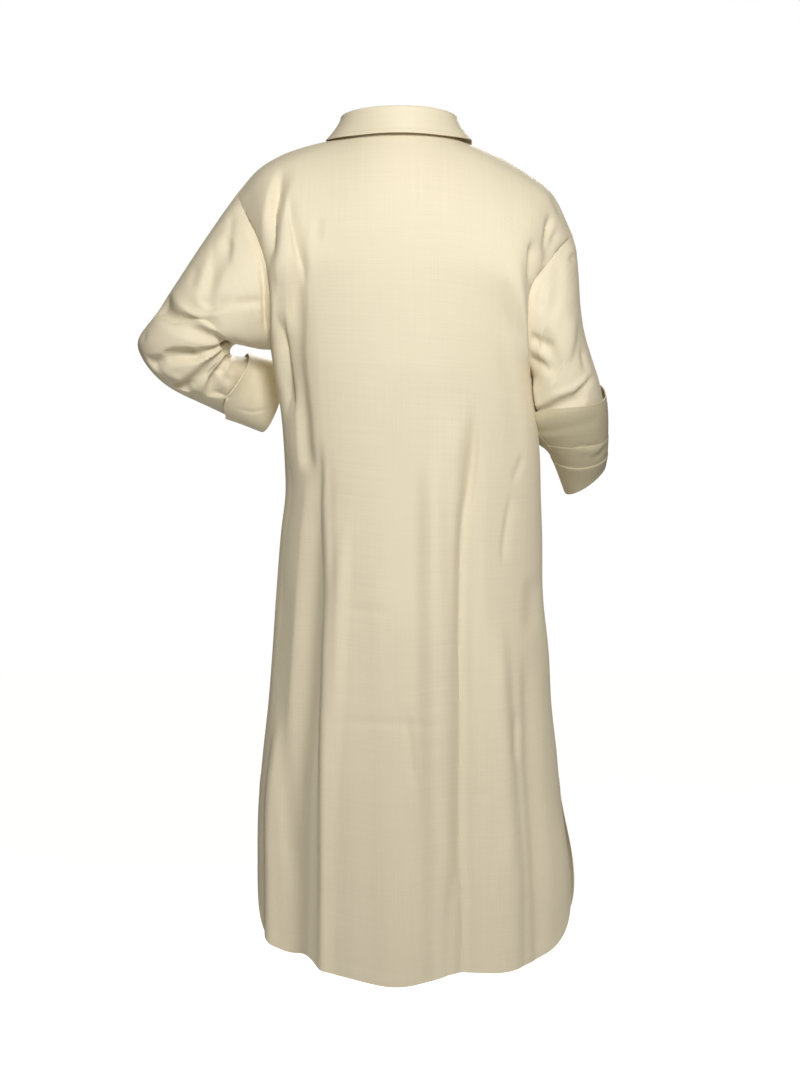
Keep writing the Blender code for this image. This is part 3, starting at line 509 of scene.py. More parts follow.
# Studio: each light's place, aim, size and share of the main light's power
LIGHTS = {
    "key light": ((-0.26, 1.88, 0.52), (0.0, 0.0, -0.18), 0.7, 1.0),
    "front light": ((-0.3, -2.2, 0.8), (0.0, 0.0, -0.4), 1.0, 1.15),
}
ROOM_TINT = (1.0, 0.94, 0.78, 1.0)
WHITE = (1.0, 1.0, 1.0, 1.0)
FLOOR_RADIUS = 14.0
FLOOR_SIDES = 96
FLOOR_GLOW = 0.90
CAMERA_HEIGHT = -0.575
CAMERA_LENS = 85
SENSOR_HEIGHT = 36


def column(rows, names, name):
    """One column of a table, by its name."""
    return np.array([row[names.index(name)] for row in rows])


def read(rows, names, name, at):
    """Value of one column on a smooth curve through the rows, which go by their first column."""
    knots = column(rows, names, names[0])
    values = column(rows, names, name)
    slopes = np.gradient(values, knots)
    at = np.clip(at, knots[0], knots[-1])
    cell = np.clip(np.searchsorted(knots, at, side="right") - 1, 0, len(knots) - 2)
    width = knots[cell + 1] - knots[cell]
    part = (at - knots[cell]) / width
    start = (1 + 2 * part) * (1 - part) ** 2 * values[cell]
    start = start + part * (1 - part) ** 2 * width * slopes[cell]
    end = part ** 2 * (3 - 2 * part) * values[cell + 1]
    return start + end + part ** 2 * (part - 1) * width * slopes[cell + 1]


def ease(value):
    """Smooth step from 0 to 1 as the value goes from 0 to 1."""
    value = np.clip(value, 0.0, 1.0)
    return value * value * (3 - 2 * value)


def hump(reach):
    """Smooth hump: 1 at reach 0, and 0 from reach 1 on."""
    return 0.5 * (1 + np.cos(math.pi * np.clip(reach, 0, 1)))


def evened(values):
    """Rows blended with the rows before and after them; the first and the last one stay."""
    inside = 0.25 * values[:-2] + 0.5 * values[1:-1] + 0.25 * values[2:]
    return np.concatenate([values[:1], inside, values[-1:]])


def unit(vectors):
    length = np.linalg.norm(vectors, axis=-1, keepdims=True)
    return vectors / np.maximum(length, 1e-12)


def grid_normals(points, closed):
    """Unit normals of a grid of points; closed grids join their last column to the first."""
    if closed:
        turned = np.concatenate([points[:, -1:], points, points[:, :1]], axis=1)
        across = np.gradient(turned, axis=1)[:, 1:-1]
    else:
        across = np.gradient(points, axis=1)
    return unit(np.cross(across, np.gradient(points, axis=0)))


def hem_height(side, across):
    """Height of a panel's hem, which rises in a curve to each vent."""
    corner = np.clip((np.abs(across) - HEM_CORNER_START) / (1 - HEM_CORNER_START), 0, 1)
    lift = 1 - (1 - corner ** HEM_CORNER_POWER) ** (1 / HEM_CORNER_POWER)
    return read(HEM_ROWS, HEM_COLUMNS, side, across) + HEM_CORNER_RISE * lift


def neck_point(turn):
    """Point of the neck seam; turn runs -1 to 1 with 0 at the back and 1 at the front."""
    angle = math.pi * np.asarray(turn, float)
    left = np.sin(angle) >= 0
    half = np.where(left, SHOULDER_ROWS[0][1], SHOULDER_ROWS[0][3])
    side_z = SHOULDER_ROWS[0][2]
    facing = np.cos(angle)
    behind = facing > 0
    y = np.where(behind, NECK_BACK_Y, -NECK_FRONT_Y) * facing
    rise = (NECK_BACK_Z - side_z) * np.maximum(facing, 0) ** 2
    dip = (NECK_FRONT_Z - side_z) * np.maximum(-facing, 0) ** NECK_FRONT_CURVE
    z = side_z + rise + dip
    return np.stack(np.broadcast_arrays(half * np.sin(angle), y, z), axis=-1)


def top_edge(side, across):
    """Upper edge of a panel: the neckline in the middle, a shoulder seam at each end."""
    span = np.abs(across)
    along = np.clip((span - NECK_SHARE) / (1 - NECK_SHARE), 0, 1)
    left = across >= 0
    x_left, z_left, x_right, z_right = [read(SHOULDER_ROWS, SHOULDER_COLUMNS, name, along)
                                        for name in SHOULDER_COLUMNS[1:]]
    x = np.where(left, x_left, -x_right)
    z = np.where(left, z_left, z_right)
    quarter = 0.5 * np.clip(across / NECK_SHARE, -1, 1)
    turn = quarter if side == "back" else np.where(quarter >= 0, 1 - quarter, -1 - quarter)
    neck = neck_point(turn)
    in_neck = (span < NECK_SHARE - SMALL)[..., None]
    seam = np.stack([x, np.zeros_like(x), z], axis=-1)
    return np.where(in_neck, neck, seam)


def body_row(name, z):
    """Half width or depth of the body at a height."""
    return read(BODY_ROWS, BODY_COLUMNS, name, z)


def side_roundness(z):
    """Power that shapes the body's section at a height."""
    lower = ease((ROUNDNESS_TOP - z) / ROUNDNESS_SPAN)
    return SIDE_ROUNDNESS + (LOW_SIDE_ROUNDNESS - SIDE_ROUNDNESS) * lower


def body_surface(side, across, along):
    """Outer face of a panel: along 0 hem, 1 underarm, 2 shoulder; across -1 right, 1 left."""
    across, along = np.broadcast_arrays(np.asarray(across, float), np.asarray(along, float))
    sign = 1.0 if side == "back" else -1.0
    left = across >= 0
    swing = np.sin(0.5 * math.pi * across)
    underarm = UNDERARM_RIGHT + (UNDERARM_LEFT - UNDERARM_RIGHT) * 0.5 * (across + 1)
    hem = hem_height(side, across)
    z_low = hem + (underarm - hem) * np.clip(along, 0, 1)
    face = np.maximum(np.cos(0.5 * math.pi * across), 0) ** side_roundness(z_low)
    half_left = body_row("left", z_low)
    half_right = body_row("right", z_low)
    vent = ease((VENT_TOP - z_low) / VENT_LENGTH)
    if side == "front":
        half_right = half_right + VENT_FRONT_FLARE * vent
    x_low = np.where(left, half_left, half_right) * swing
    y_low = body_row(side, z_low) * face
    y_low = y_low + VENT_SPREAD * vent * np.abs(swing) ** VENT_SHARPNESS

    rise = 0.5 * (1 - np.cos(math.pi * np.clip(along - 1, 0, 1)))
    edge, edge_deep = [np.where(left, read(ARMHOLE_LEFT, ARMHOLE_COLUMNS, name, rise),
                                read(ARMHOLE_RIGHT, ARMHOLE_COLUMNS, name, rise))
                       for name in ("half", side)]
    top = top_edge(side, across)
    corner = np.where(left, SHOULDER_ROWS[-1][1], SHOULDER_ROWS[-1][3])
    share = rise ** 2
    x_up = edge * ((1 - share) * swing + share * top[..., 0] / corner)
    z_up = underarm + (top[..., 2] - underarm) * rise
    in_neck = 1 - ease(np.abs(across) / NECK_SHARE - NECK_BLEND_START)
    round_over = np.sqrt(np.maximum(1 - rise ** SHOULDER_ROUND, 0))
    slope_in = 1 - rise ** NECK_FULLNESS
    hold = round_over + (slope_in - round_over) * in_neck
    y_top = sign * top[..., 1]
    sharp = EDGE_FLATNESS + EDGE_SHARPENING * (1 - ease(rise / EDGE_SOFT_RISE))
    y_up = y_top + (y_low - y_top) * hold + np.abs(swing) ** sharp * edge_deep

    upper = along > 1
    x = np.where(upper, x_up, x_low)
    y = np.where(upper, y_up, y_low)
    z = np.where(upper, z_up, z_low)
    return np.stack([x, sign * y, z], axis=-1)


def fold_depth(folds, across, z):
    """How far the long folds move a panel's cloth out, by place across and height."""
    total = np.zeros_like(z)
    for upper, lower, from_z, to_z, half_width, depth in folds:
        run = np.clip((from_z - z) / (from_z - to_z), 0, 1)
        centre = upper + (lower - upper) * run
        shape = hump(np.abs(across - centre) / half_width)
        fade = ease((from_z - z) / FOLD_FADE) * ease((z - to_z) / FOLD_HEM_FADE + FOLD_HEM_START)
        total = total + depth * shape * fade
    return total


def sleeve_surface(rows, loop, place, turn):
    """Outer face of a sleeve on its rings; turn 0 outer, 0.25 back, 0.5 inner, 0.75 front."""
    place, turn = np.broadcast_arrays(np.asarray(place, float), np.asarray(turn, float))
    outer, inner = [np.stack([read(rows, RING_COLUMNS, end + axis, place) for axis in "xyz"],
                             axis=-1) for end in ("outer_", "inner_")]
    yaw = np.radians(read(rows, RING_COLUMNS, "yaw", place))
    lean = np.radians(read(rows, RING_COLUMNS, "lean", place))
    bulge = np.stack([np.sin(yaw) * np.cos(lean), np.cos(yaw) * np.cos(lean), -np.sin(lean)],
                     axis=-1)
    chord = unit(outer - inner)
    bulge = unit(bulge - chord * np.sum(bulge * chord, axis=-1, keepdims=True))
    angle = 2 * math.pi * turn
    depth = read(rows, RING_COLUMNS, "depth", place)
    side = np.sign(np.sin(angle)) * np.abs(np.sin(angle)) ** SLEEVE_SQUARENESS
    middle = 0.5 * (outer + inner)
    points = middle + 0.5 * (outer - inner) * np.cos(angle)[..., None]
    points = points + bulge * (depth * side)[..., None]
    if loop is None:
        return points
    first = sleeve_surface(rows, None, np.zeros(turn.shape[-1]), turn[0])
    hold = np.clip(1 - place / ARMHOLE_REACH, 0, 1) ** 2
    return points + (loop - first)[None] * hold[..., None]


def crease_depth(creases, place, turn):
    """How far broad straight creases move a sleeve's cloth out, by place and turn."""
    total = np.zeros(np.broadcast(place, turn).shape)
    for place_a, turn_a, place_b, turn_b, half_width, depth in creases:
        span = np.array([place_b - place_a, turn_b - turn_a])
        part = ((place - place_a) * span[0] + (turn - turn_a) * span[1]) / np.dot(span, span)
        part = np.clip(part, 0, 1)
        away = np.hypot(place - place_a - part * span[0], turn - turn_a - part * span[1])
        total = total + depth * hump(away / half_width)
    return total


def collar_value(name, turn):
    """Height, reach or drop of the collar, alike on both sides."""
    return read(COLLAR_TURN_ROWS, COLLAR_TURN_COLUMNS, name, np.abs(turn))


def neck_frame(turn):
    """Neck seam points with their outward direction, level with the ground."""
    points = neck_point(turn)
    along = unit(neck_point(turn + NECK_STEP) - neck_point(turn - NECK_STEP))
    out = unit(np.cross(along, np.array([0.0, 0.0, 1.0])))
    out = out * np.sign(np.sum(out * points, axis=-1, keepdims=True))
    return points, out


def size_property(name, description, default, low, high):
    return bpy.props.FloatProperty(name=name, description=description, default=default,
                                   min=low, max=high, subtype="DISTANCE")


def colour_property(name, description, default):
    return bpy.props.FloatVectorProperty(name=name, description=description, default=default,
                                         min=0.0, max=1.0, subtype="COLOR")


class RobeCloth(bpy.types.PropertyGroup):
    wall: size_property(
        "Cloth thickness", "Thickness of the single cloth", 0.0007, 0.0003, 0.003)
    band: size_property(
        "Band thickness", "Thickness of the doubled cuffs and placket", 0.0014, 0.0005, 0.004)
    crease: bpy.props.FloatProperty(
        name="Crease strength", description="Share of each crease's full depth",
        default=1.0, min=0.0, max=1.5, subtype="FACTOR")
    colour: colour_property(
        "Cloth colour", "Colour of the right side of the cotton", (0.80, 0.715, 0.53))
    shade: colour_property(
        "Wrong side colour", "Colour of the wrong side, seen on the cuffs", (0.74, 0.655, 0.455))
    thread_pitch: size_property(
        "Thread spacing", "Distance between the threads of the weave", 0.0006, 0.0002, 0.002)


class RobeSewing(bpy.types.PropertyGroup):
    pitch: size_property(
        "Stitch spacing", "Distance from one stitch to the next", 0.0032, 0.001, 0.01)
    length: size_property(
        "Stitch length", "Length of one stitch", 0.0025, 0.0005, 0.01)
    thickness: size_property(
        "Thread thickness", "Diameter of the sewing thread", 0.00042, 0.0001, 0.002)
    colour: colour_property(
        "Thread colour", "Colour of the sewing thread", (0.74, 0.655, 0.47))


class RobeButtons(bpy.types.PropertyGroup):
    radius: size_property(
        "Button radius", "Radius of a button", 0.0058, 0.003, 0.012)
    thickness: size_property(
        "Button thickness", "Thickness at the rim", 0.0026, 0.001, 0.005)
    colour: colour_property(
        "Button colour", "Colour of the resin", (0.62, 0.54, 0.40))


class RobeStudio(bpy.types.PropertyGroup):
    distance: size_property(
        "Camera distance", "From the camera to the robe's middle", 3.67, 1.0, 10.0)
    key: bpy.props.FloatProperty(
        name="Main light", description="Power of the large light beside the camera",
        default=37.0, min=0.0, max=2000.0, subtype="POWER")
    fill: bpy.props.FloatProperty(
        name="Room light", description="Brightness of the surroundings",
        default=0.16, min=0.0, max=1.0)
    floor_height: size_property(
        "Floor height", "Height of the studio floor", -1.46, -3.0, -1.2)


def laid_crease(points, rows, facing, strength):
    """How far creases drawn on the (x, z) plane move cloth that faces them, out along it."""
    flat = points[..., [0, 2]]
    total = np.zeros(points.shape[:2])
    for left_width, right_width, depth, sharp, *path in rows:
        path = np.array(path) / MILLIMETRES
        steps = path[1:] - path[:-1]
        lengths = np.linalg.norm(steps, axis=1)
        starts = np.concatenate([[0.0], np.cumsum(lengths)])
        best = np.full(points.shape[:2], np.inf)
        place = np.zeros(points.shape[:2])
        hand = np.zeros(points.shape[:2])
        for number, step in enumerate(steps):
            away = flat - path[number]
            part = np.clip((away @ step) / (lengths[number] ** 2), 0, 1)
            gap = away - part[..., None] * step
            distance = np.linalg.norm(gap, axis=-1)
            nearer = distance < best
            best = np.where(nearer, distance, best)
            place = np.where(nearer, starts[number] + part * lengths[number], place)
            turned = step[0] * gap[..., 1] - step[1] * gap[..., 0]
            hand = np.where(nearer, turned, hand)
        width = np.where(hand > 0, left_width / MILLIMETRES, right_width / MILLIMETRES)
        reach = np.clip(best / width, 0, 1)
        soft = hump(reach)
        shape = soft + sharp * ((1 - reach) ** 2 - soft)
        end = min(CREASE_END * starts[-1], CREASE_LONGEST_END)
        fade = ease(place / end) * ease((starts[-1] - place) / end)
        total = total + depth / TENTHS * shape * fade
    return strength * total * np.clip(CREASE_FACING_GAIN * facing, 0, 1)


def unevenness(points):
    """How far slow waves move hanging cloth out."""
    total = np.zeros(points.shape[:2])
    for along_x, along_z, start, height in WAVES:
        phase = along_x * points[..., 0] + along_z * points[..., 2] + start
        bend = WAVE_BEND * np.sin(WAVE_BEND_RATE * points[..., 2] + start)
        total = total + height * np.sin(phase + bend)
    return total


def soften_underarm(points, across, low_rows):
    """Evens out the change of slope where the body meets the armholes, away from the sides."""
    rows = np.arange(points.shape[0])[:, None]
    near = np.exp(-((rows - low_rows) / UNDERARM_SOFT_ROWS) ** 2)
    near = near * (1 - np.abs(across) ** UNDERARM_SIDE_POWER)
    for _ in range(UNDERARM_PASSES):
        points = points + (evened(points) - points) * near[..., None]
    return points


def soften_neck_corners(points, across, along):
    """Evens out the lines that the neckline's corners would send down a panel."""
    low = ease((along - NECK_SOFT_START) / NECK_SOFT_SPAN)
    held = ease((2 - along) / NECK_SOFT_HOLD)
    middle = 1 - ease((np.abs(across) - NECK_SOFT_SIDE) / NECK_SOFT_SIDE_SPAN)
    weight = (low * held * middle)[..., None]
    for _ in range(NECK_SOFT_PASSES):
        mean = np.swapaxes(evened(np.swapaxes(points, 0, 1)), 0, 1)
        points = points + (mean - points) * weight
    return points


def panel_grid(side, columns, low_rows, strength):
    """Outer points and wall directions of the front or the back panel, with its creases."""
    across = np.linspace(-1, 1, columns + 1)[None, :]
    low = np.linspace(0, 1, low_rows + 1)
    even = np.linspace(0, 1, ARM_ROWS + 1)[1:]
    rise = RISE_EVEN_SHARE * even + RISE_ROUND_SHARE * 0.5 * (1 - np.cos(math.pi * even))
    high = 1 + np.arccos(np.clip(1 - 2 * rise, -1, 1)) / math.pi
    along = np.concatenate([low, high])[:, None]
    points = soften_underarm(body_surface(side, across, along), across, low_rows)
    points = soften_neck_corners(points, across, along)
    sign = 1.0 if side == "back" else -1.0
    normals = grid_normals(points, closed=False) * -sign
    folds = BACK_FOLDS if side == "back" else FRONT_FOLDS
    quiet_sides = 1 - np.abs(across) ** FOLD_SIDE_POWER
    quiet_top = 1 - ease(along - FOLD_TOP)
    depth = fold_depth(folds, across, points[..., 2]) * quiet_sides * quiet_top
    points = points + normals * depth[..., None]
    normals = grid_normals(points, closed=False) * -sign

    creases = BACK_CREASES if side == "back" else FRONT_CREASES
    facing = sign * normals[..., 1]
    edge_hold = 1 - np.abs(across) ** SIDE_CREASE_POWER
    top_hold = 1 - ease((along - TOP_CREASE_START) / TOP_CREASE_FADE)
    depth = laid_crease(points, creases, facing, strength) + unevenness(points)
    points = points + normals * (depth * edge_hold * top_hold)[..., None]
    normals = grid_normals(points, closed=False) * -sign

    # Side seams, and shoulder seams, lie in the plane between front and back
    flat = np.array([1.0, 0.0, 1.0])
    normals[:low_rows + 1, 0] = unit(normals[:low_rows + 1, 0] * flat)
    normals[:low_rows + 1, -1] = unit(normals[:low_rows + 1, -1] * flat)
    on_seam = np.abs(across[0]) >= NECK_SHARE - SMALL
    normals[-1, on_seam] = unit(normals[-1, on_seam] * flat)
    for edge in (0, -1):
        arm = points[low_rows:, edge]
        centre = np.array([0.0, 0.0, 0.5 * (arm[0, 2] + arm[-1, 2])])
        outward = unit((arm - centre) * np.array([0, 1, 1]))
        normals[low_rows:, edge] = unit(normals[low_rows:, edge] + outward)
    inner = ~on_seam
    around = unit(points[-1, inner] * np.array([1, 1, 0]))
    normals[-1, inner] = unit(normals[-1, inner] + around)
    points[..., 1] = sign * np.maximum(sign * points[..., 1], 0.5 * SEAM_GAP)
    return points, normals


def spans(points, axis):
    """Distance along each line of a grid from its first point."""
    steps = np.linalg.norm(np.diff(points, axis=axis), axis=-1)
    first = np.zeros_like(np.take(steps, [0], axis=axis))
    return np.concatenate([first, np.cumsum(steps, axis=axis)], axis=axis)


def grid_uv(points):
    """Places on the cloth in metres, with the middle line as the straight grain."""
    across = spans(points, 1)
    middle = points.shape[1] // 2
    u = across - across[:, middle:middle + 1]
    v = spans(points, 0)
    v = v - v[-1:, :]
    return np.stack([u, np.broadcast_to(v[:, middle:middle + 1], u.shape)], axis=-1)


def wall_mesh(name, outer, inner, closed=False):
    """A closed wall between two grids of points, with its places on the cloth as UV."""
    rows, columns = outer.shape[:2]
    count = rows * columns
    ids = np.arange(count).reshape(rows, columns)
    if closed:
        ids = np.concatenate([ids, ids[:, :1]], axis=1)
    outside = np.stack([ids[:-1, :-1], ids[:-1, 1:], ids[1:, 1:], ids[1:, :-1]], axis=-1)
    outside = outside.reshape(-1, 4)
    borders = [(ids[0, 1:], ids[0, :-1]), (ids[-1, :-1], ids[-1, 1:])]
    if not closed:
        borders += [(ids[:-1, 0], ids[1:, 0]), (ids[1:, -1], ids[:-1, -1])]
    rims = [np.stack([start, end, end + count, start + count], axis=-1) for start, end in borders]
    faces = np.concatenate([outside, outside[:, ::-1] + count] + rims)
    vertices = np.concatenate([outer.reshape(-1, 3), inner.reshape(-1, 3)])
    data = bpy.data.meshes.new(name)
    data.from_pydata(vertices.tolist(), [], faces.tolist())

    grid = outer if not closed else np.concatenate([outer, outer[:, :1]], axis=1)
    uv = grid_uv(grid)
    corners = uv[:, :columns].reshape(-1, 2)[faces % count]
    if closed:
        row, column = np.divmod(faces % count, columns)
        at_seam = (column == 0) & (column == columns - 1).any(axis=1)[:, None]
        corners[at_seam] = uv[row[at_seam], -1]
    layer = data.uv_layers.new(name="cloth")
    layer.data.foreach_set("uv", corners.reshape(-1).astype(np.float32))
    mesh = bmesh.new()
    mesh.from_mesh(data)
    bmesh.ops.recalc_face_normals(mesh, faces=mesh.faces)
    mesh.to_mesh(data)
    mesh.free()
    data.shade_smooth()
    data.set_sharp_from_angle(angle=math.radians(SHARP_ANGLE))
    data.update()
    return data


def linked(name, data):
    """A new object in the scene."""
    made = bpy.data.objects.new(name, data)
    bpy.context.scene.collection.objects.link(made)
    return made


def mesh_data(name, mesh):
    """Mesh data made from a bmesh, which is freed."""
    data = bpy.data.meshes.new(name)
    mesh.to_mesh(data)
    mesh.free()
    return data


def applied(guide):
    """The mesh of an object with its modifiers applied; the object itself is removed."""
    bpy.context.view_layer.update()
    evaluated = guide.evaluated_get(bpy.context.evaluated_depsgraph_get())
    made = bpy.data.meshes.new_from_object(evaluated)
    guide.modifiers.clear()
    data = guide.data
    bpy.data.objects.remove(guide, do_unlink=True)
    bpy.data.meshes.remove(data)
    return made


def place_piece(name, data, material, nodes=()):
    """Links a finished piece, gives it its material and its body, and hides the imported parts that
    it takes the place of.
    """
    piece = linked(name, data)
    if material is not None:
        data.materials.clear()
        data.materials.append(material)
    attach(piece, "root")
    if nodes:
        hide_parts(*nodes)
    return piece


def cloth_piece(name, outer, inner, material, nodes, closed=False):
    """A finished piece of cloth between two grids of points."""
    return place_piece(name, wall_mesh(name, outer, inner, closed), material, nodes)


def armhole_loop(back, front, edge):
    """Points and wall directions round an armhole: shoulder, back, underarm, front."""
    points, walls = [np.concatenate([behind[BACK_LOW_ROWS:, edge][::-1],
                                     before[FRONT_LOW_ROWS:, edge][1:-1]])
                     for behind, before in zip(back, front)]
    points[0, 1] = 0.0
    points[ARM_ROWS, 1] = 0.0
    return points, walls


def body_grids():
    """Grids of the back and the front panel."""
    cloth = bpy.context.scene.robe_cloth
    back = panel_grid("back", BACK_COLUMNS, BACK_LOW_ROWS, cloth.crease)
    front = panel_grid("front", FRONT_COLUMNS, FRONT_LOW_ROWS, cloth.crease)
    return back, front


def clear_of_body(points, side):
    """Moves sleeve cloth that would enter the body's side out to lie against it."""
    name = "left" if side > 0 else "right"
    underarm = UNDERARM_LEFT if side > 0 else UNDERARM_RIGHT
    z = np.minimum(points[..., 2], underarm - BODY_PRESS_TOP)
    deep = np.where(points[..., 1] > 0, body_row("back", z), body_row("front", z))
    share = np.clip(np.abs(points[..., 1]) / deep, 0, 1) ** (1 / side_roundness(z))
    edge = body_row(name, z) * np.sqrt(1 - share ** 2) + BODY_CLEARANCE
    below = ease((underarm - points[..., 2]) / BODY_PRESS_FADE)
    over = side * points[..., 0] - edge
    pressed = over * np.exp(-(over / BODY_PRESS) ** 2)
    moved = points.copy()
    moved[..., 0] = moved[..., 0] - side * np.where(over < 0, over, pressed) * below
    return moved


def smooth_depth(depth, passes):
    """Evens out a field of depths on a closed grid, so that sharp creases stay clean."""
    for _ in range(passes):
        depth = 0.25 * np.roll(depth, 1, axis=1) + 0.5 * depth + 0.25 * np.roll(depth, -1, axis=1)
        depth = evened(depth)
    return depth


def sleeve_grid(name, back, front):
    """Outer points and wall directions of a sleeve, its first ring on the armhole."""
    side, edge, rows, creases, behind, before = SLEEVES[name][:-1]
    loop, walls = armhole_loop(back, front, edge)
    place = np.linspace(0, 1, SLEEVE_RINGS + 1)[:, None]
    turn = (np.arange(2 * ARM_ROWS) / (2 * ARM_ROWS))[None, :]
    points = sleeve_surface(rows, loop, place, turn)
    normals = grid_normals(points, closed=True) * -side
    depth = crease_depth(creases, place, turn) * ease(place / SLEEVE_FOLD_FADE)
    points = clear_of_body(points + normals * depth[..., None], side)
    normals = grid_normals(points, closed=True) * -side

    strength = bpy.context.scene.robe_cloth.crease
    start = read(CUFF_START_ROWS, CUFF_START_COLUMNS, name, turn)
    under_cuff = 1 - ease((place - start + UNDER_CUFF_START) / UNDER_CUFF_FADE)
    depth = laid_crease(points, behind, normals[..., 1], strength)
    depth = depth + laid_crease(points, before, -normals[..., 1], strength)
    depth = smooth_depth(depth, CREASE_SMOOTHING) + unevenness(points)
    depth = depth * ease(place / SLEEVE_CREASE_FADE) * under_cuff
    points = points + normals * depth[..., None]
    normals = grid_normals(points, closed=True) * -side
    tangent = unit(np.roll(loop, -1, axis=0) - np.roll(loop, 1, axis=0))
    apart = unit(np.cross(tangent, walls)) * side
    points[0] = loop + SEAM_GAP * apart
    normals[0] = walls
    return points, normals


def along_sleeve(values, place):
    """Values of a sleeve's rings at places between them, for each column round the arm."""
    ring = np.clip(place * SLEEVE_RINGS, 0, SLEEVE_RINGS)
    low = np.minimum(ring.astype(int), SLEEVE_RINGS - 1)
    part = (ring - low)[..., None]
    column = np.arange(values.shape[1])[None, :]
    return values[low, column] * (1 - part) + values[low + 1, column] * part


def cuff_shares():
    """Rings of the cuffs as shares of their length, close together where the cloth steps."""
    steps = [share for values in CUFF_STEPS.values() for share, height in values]
    close = [share + part * CUFF_STEP_SPAN for share in steps for part in CUFF_STEP_PARTS]
    return np.sort(np.concatenate([np.linspace(0, 1, CUFF_RINGS + 1), close]))


def cuff_grid(name, grid):
    """Rings of a turned-back cuff: the sleeve's last points moved out, flared at the free edge."""
    on_cuff = SLEEVES[name][-1]
    points, walls = grid
    turn = np.arange(points.shape[1]) / points.shape[1]
    start = read(CUFF_START_ROWS, CUFF_START_COLUMNS, name, turn)[None, :]
    back = 1 - cuff_shares()[:, None]
    place = start + (1 - start) * (1 - back)
    directions = unit(along_sleeve(walls, place))
    away = SEAM_GAP + CUFF_STANDOFF * (1 - (1 - back) ** 3) + CUFF_FLARE * back ** 2
    inner = along_sleeve(points, place) + directions * away[..., None]
    inner[-1] = inner[-1] + unit(inner[-1] - inner[-2]) * CUFF_OVERHANG
    strength = bpy.context.scene.robe_cloth.crease
    depth = laid_crease(inner, on_cuff, directions[..., 1], strength)
    for share, height in CUFF_STEPS[name]:
        depth = depth + height * ease((1 - back - share) / CUFF_STEP_SPAN)
    inner = inner + directions * np.maximum(depth, SEAM_GAP - away)[..., None]
    return inner, directions


def strip_grid(inner, directions, band):
    """Strip on the right cuff, from its free edge down beside the sleeve's opening."""
    first, last = [int(round(share * 2 * ARM_ROWS)) for share in SLEEVE_STRIP_TURN]
    rows = slice(0, int(np.sum(cuff_shares() <= SLEEVE_STRIP_LENGTH)))
    columns = slice(first, last + 1)
    away = band + SEAM_GAP
    return inner[rows, columns] + away * directions[rows, columns], directions[rows, columns]


def stand_grid():
    """Collar stand: a band on the neck seam whose left end laps over the right one in front."""
    turn = np.linspace(-1, 1, COLLAR_COLUMNS + 1)
    lapped = 1 + np.arange(1, STAND_LAP_COLUMNS + 1) * 2 / COLLAR_COLUMNS
    turn = np.concatenate([turn, lapped])
    wrapped = (turn + 1) % 2 - 1
    points, out = neck_frame(wrapped)
    lap = ease((turn - STAND_LAP_START) / STAND_LAP_SPAN)[:, None] * (COLLAR_WALL + 2 * SEAM_GAP)
    height = collar_value("stand", wrapped)
    up = np.array([0.0, 0.0, 1.0])
    rows = []
    for part in np.linspace(0, 1, STAND_ROWS):
        rise = SEAM_GAP + STAND_LIFT + part * height
        rows.append(points + out * (lap - part * STAND_TILT) + up * rise[:, None])
    return np.array(rows), np.broadcast_to(out, (STAND_ROWS,) + out.shape)


def fall_grid():
    """Collar fall: rises from the top of the stand, rolls over and lies outside it."""
    reach = 1 - 0.5 * FALL_FRONT_GAP
    turn = np.linspace(-reach, reach, COLLAR_COLUMNS + 1)
    points, out = neck_frame(turn)
    up = np.array([0.0, 0.0, 1.0])
    stand = collar_value("stand", turn)
    lower_reach = collar_value("reach", turn)
    drop = collar_value("drop", turn)
    lap = COLLAR_WALL + 2 * SEAM_GAP
    base = points + up * (stand + 3 * SEAM_GAP + STAND_LIFT)[:, None]
    base = base + out * (lap - STAND_TILT)
    sections = []
    for part in np.linspace(0, 1, FALL_ROWS + 1):
        if part <= ROLL_SHARE:
            angle = math.pi * part / ROLL_SHARE
            away = 0.5 * ROLL_OUT * (1 - math.cos(angle)) * np.ones_like(turn)
            lift = ROLL_HEIGHT * math.sin(angle) * np.ones_like(turn)
        else:
            down = (part - ROLL_SHARE) / (1 - ROLL_SHARE)
            away = ROLL_OUT + (lower_reach - ROLL_OUT) * down ** FALL_CURVE
            lift = -(drop - ROLL_HEIGHT) * down
        sections.append(base + out * away[:, None] + up * lift[:, None])
    outer = np.array(sections)
    normals = grid_normals(outer, closed=False)
    if normals[-1, len(turn) // 2, 1] < 0:
        normals = -normals
    return outer, normals


def placket_grid(front):
    """Front strip: the middle columns of the front panel moved out, from the neck down."""
    points, walls = front
    middle = FRONT_COLUMNS // 2
    rows = slice(FRONT_LOW_ROWS - PLACKET_LOW_ROWS, FRONT_LOW_ROWS + ARM_ROWS)
    columns = slice(middle - PLACKET_HALF_COLUMNS, middle + PLACKET_HALF_COLUMNS + 1)
    return points[rows, columns] + SEAM_GAP * walls[rows, columns], walls[rows, columns]


def socket(group, name, kind, value=None, low=None, high=None, out=False):
    """Adds an input or an output to a node group."""
    made = group.interface.new_socket(
        name=name, in_out="OUTPUT" if out else "INPUT", socket_type=kind)
    if value is not None:
        made.default_value = value
    if low is not None:
        made.min_value = low
    if high is not None:
        made.max_value = high
    return made


def node(tree, kind, links=(), **values):
    """Adds a node, sets its options, then its sockets from values or other nodes' outputs."""
    made = tree.nodes.new(kind)
    for name, value in values.items():
        setattr(made, name, value)
    for key, value in dict(links).items():
        if isinstance(value, bpy.types.NodeSocket):
            tree.links.new(value, made.inputs[key])
        else:
            made.inputs[key].default_value = value
    return made


def math_node(tree, operation, *values):
    """Output of a math node on numbers or other nodes' outputs."""
    return node(tree, "ShaderNodeMath", dict(enumerate(values)), operation=operation).outputs[0]


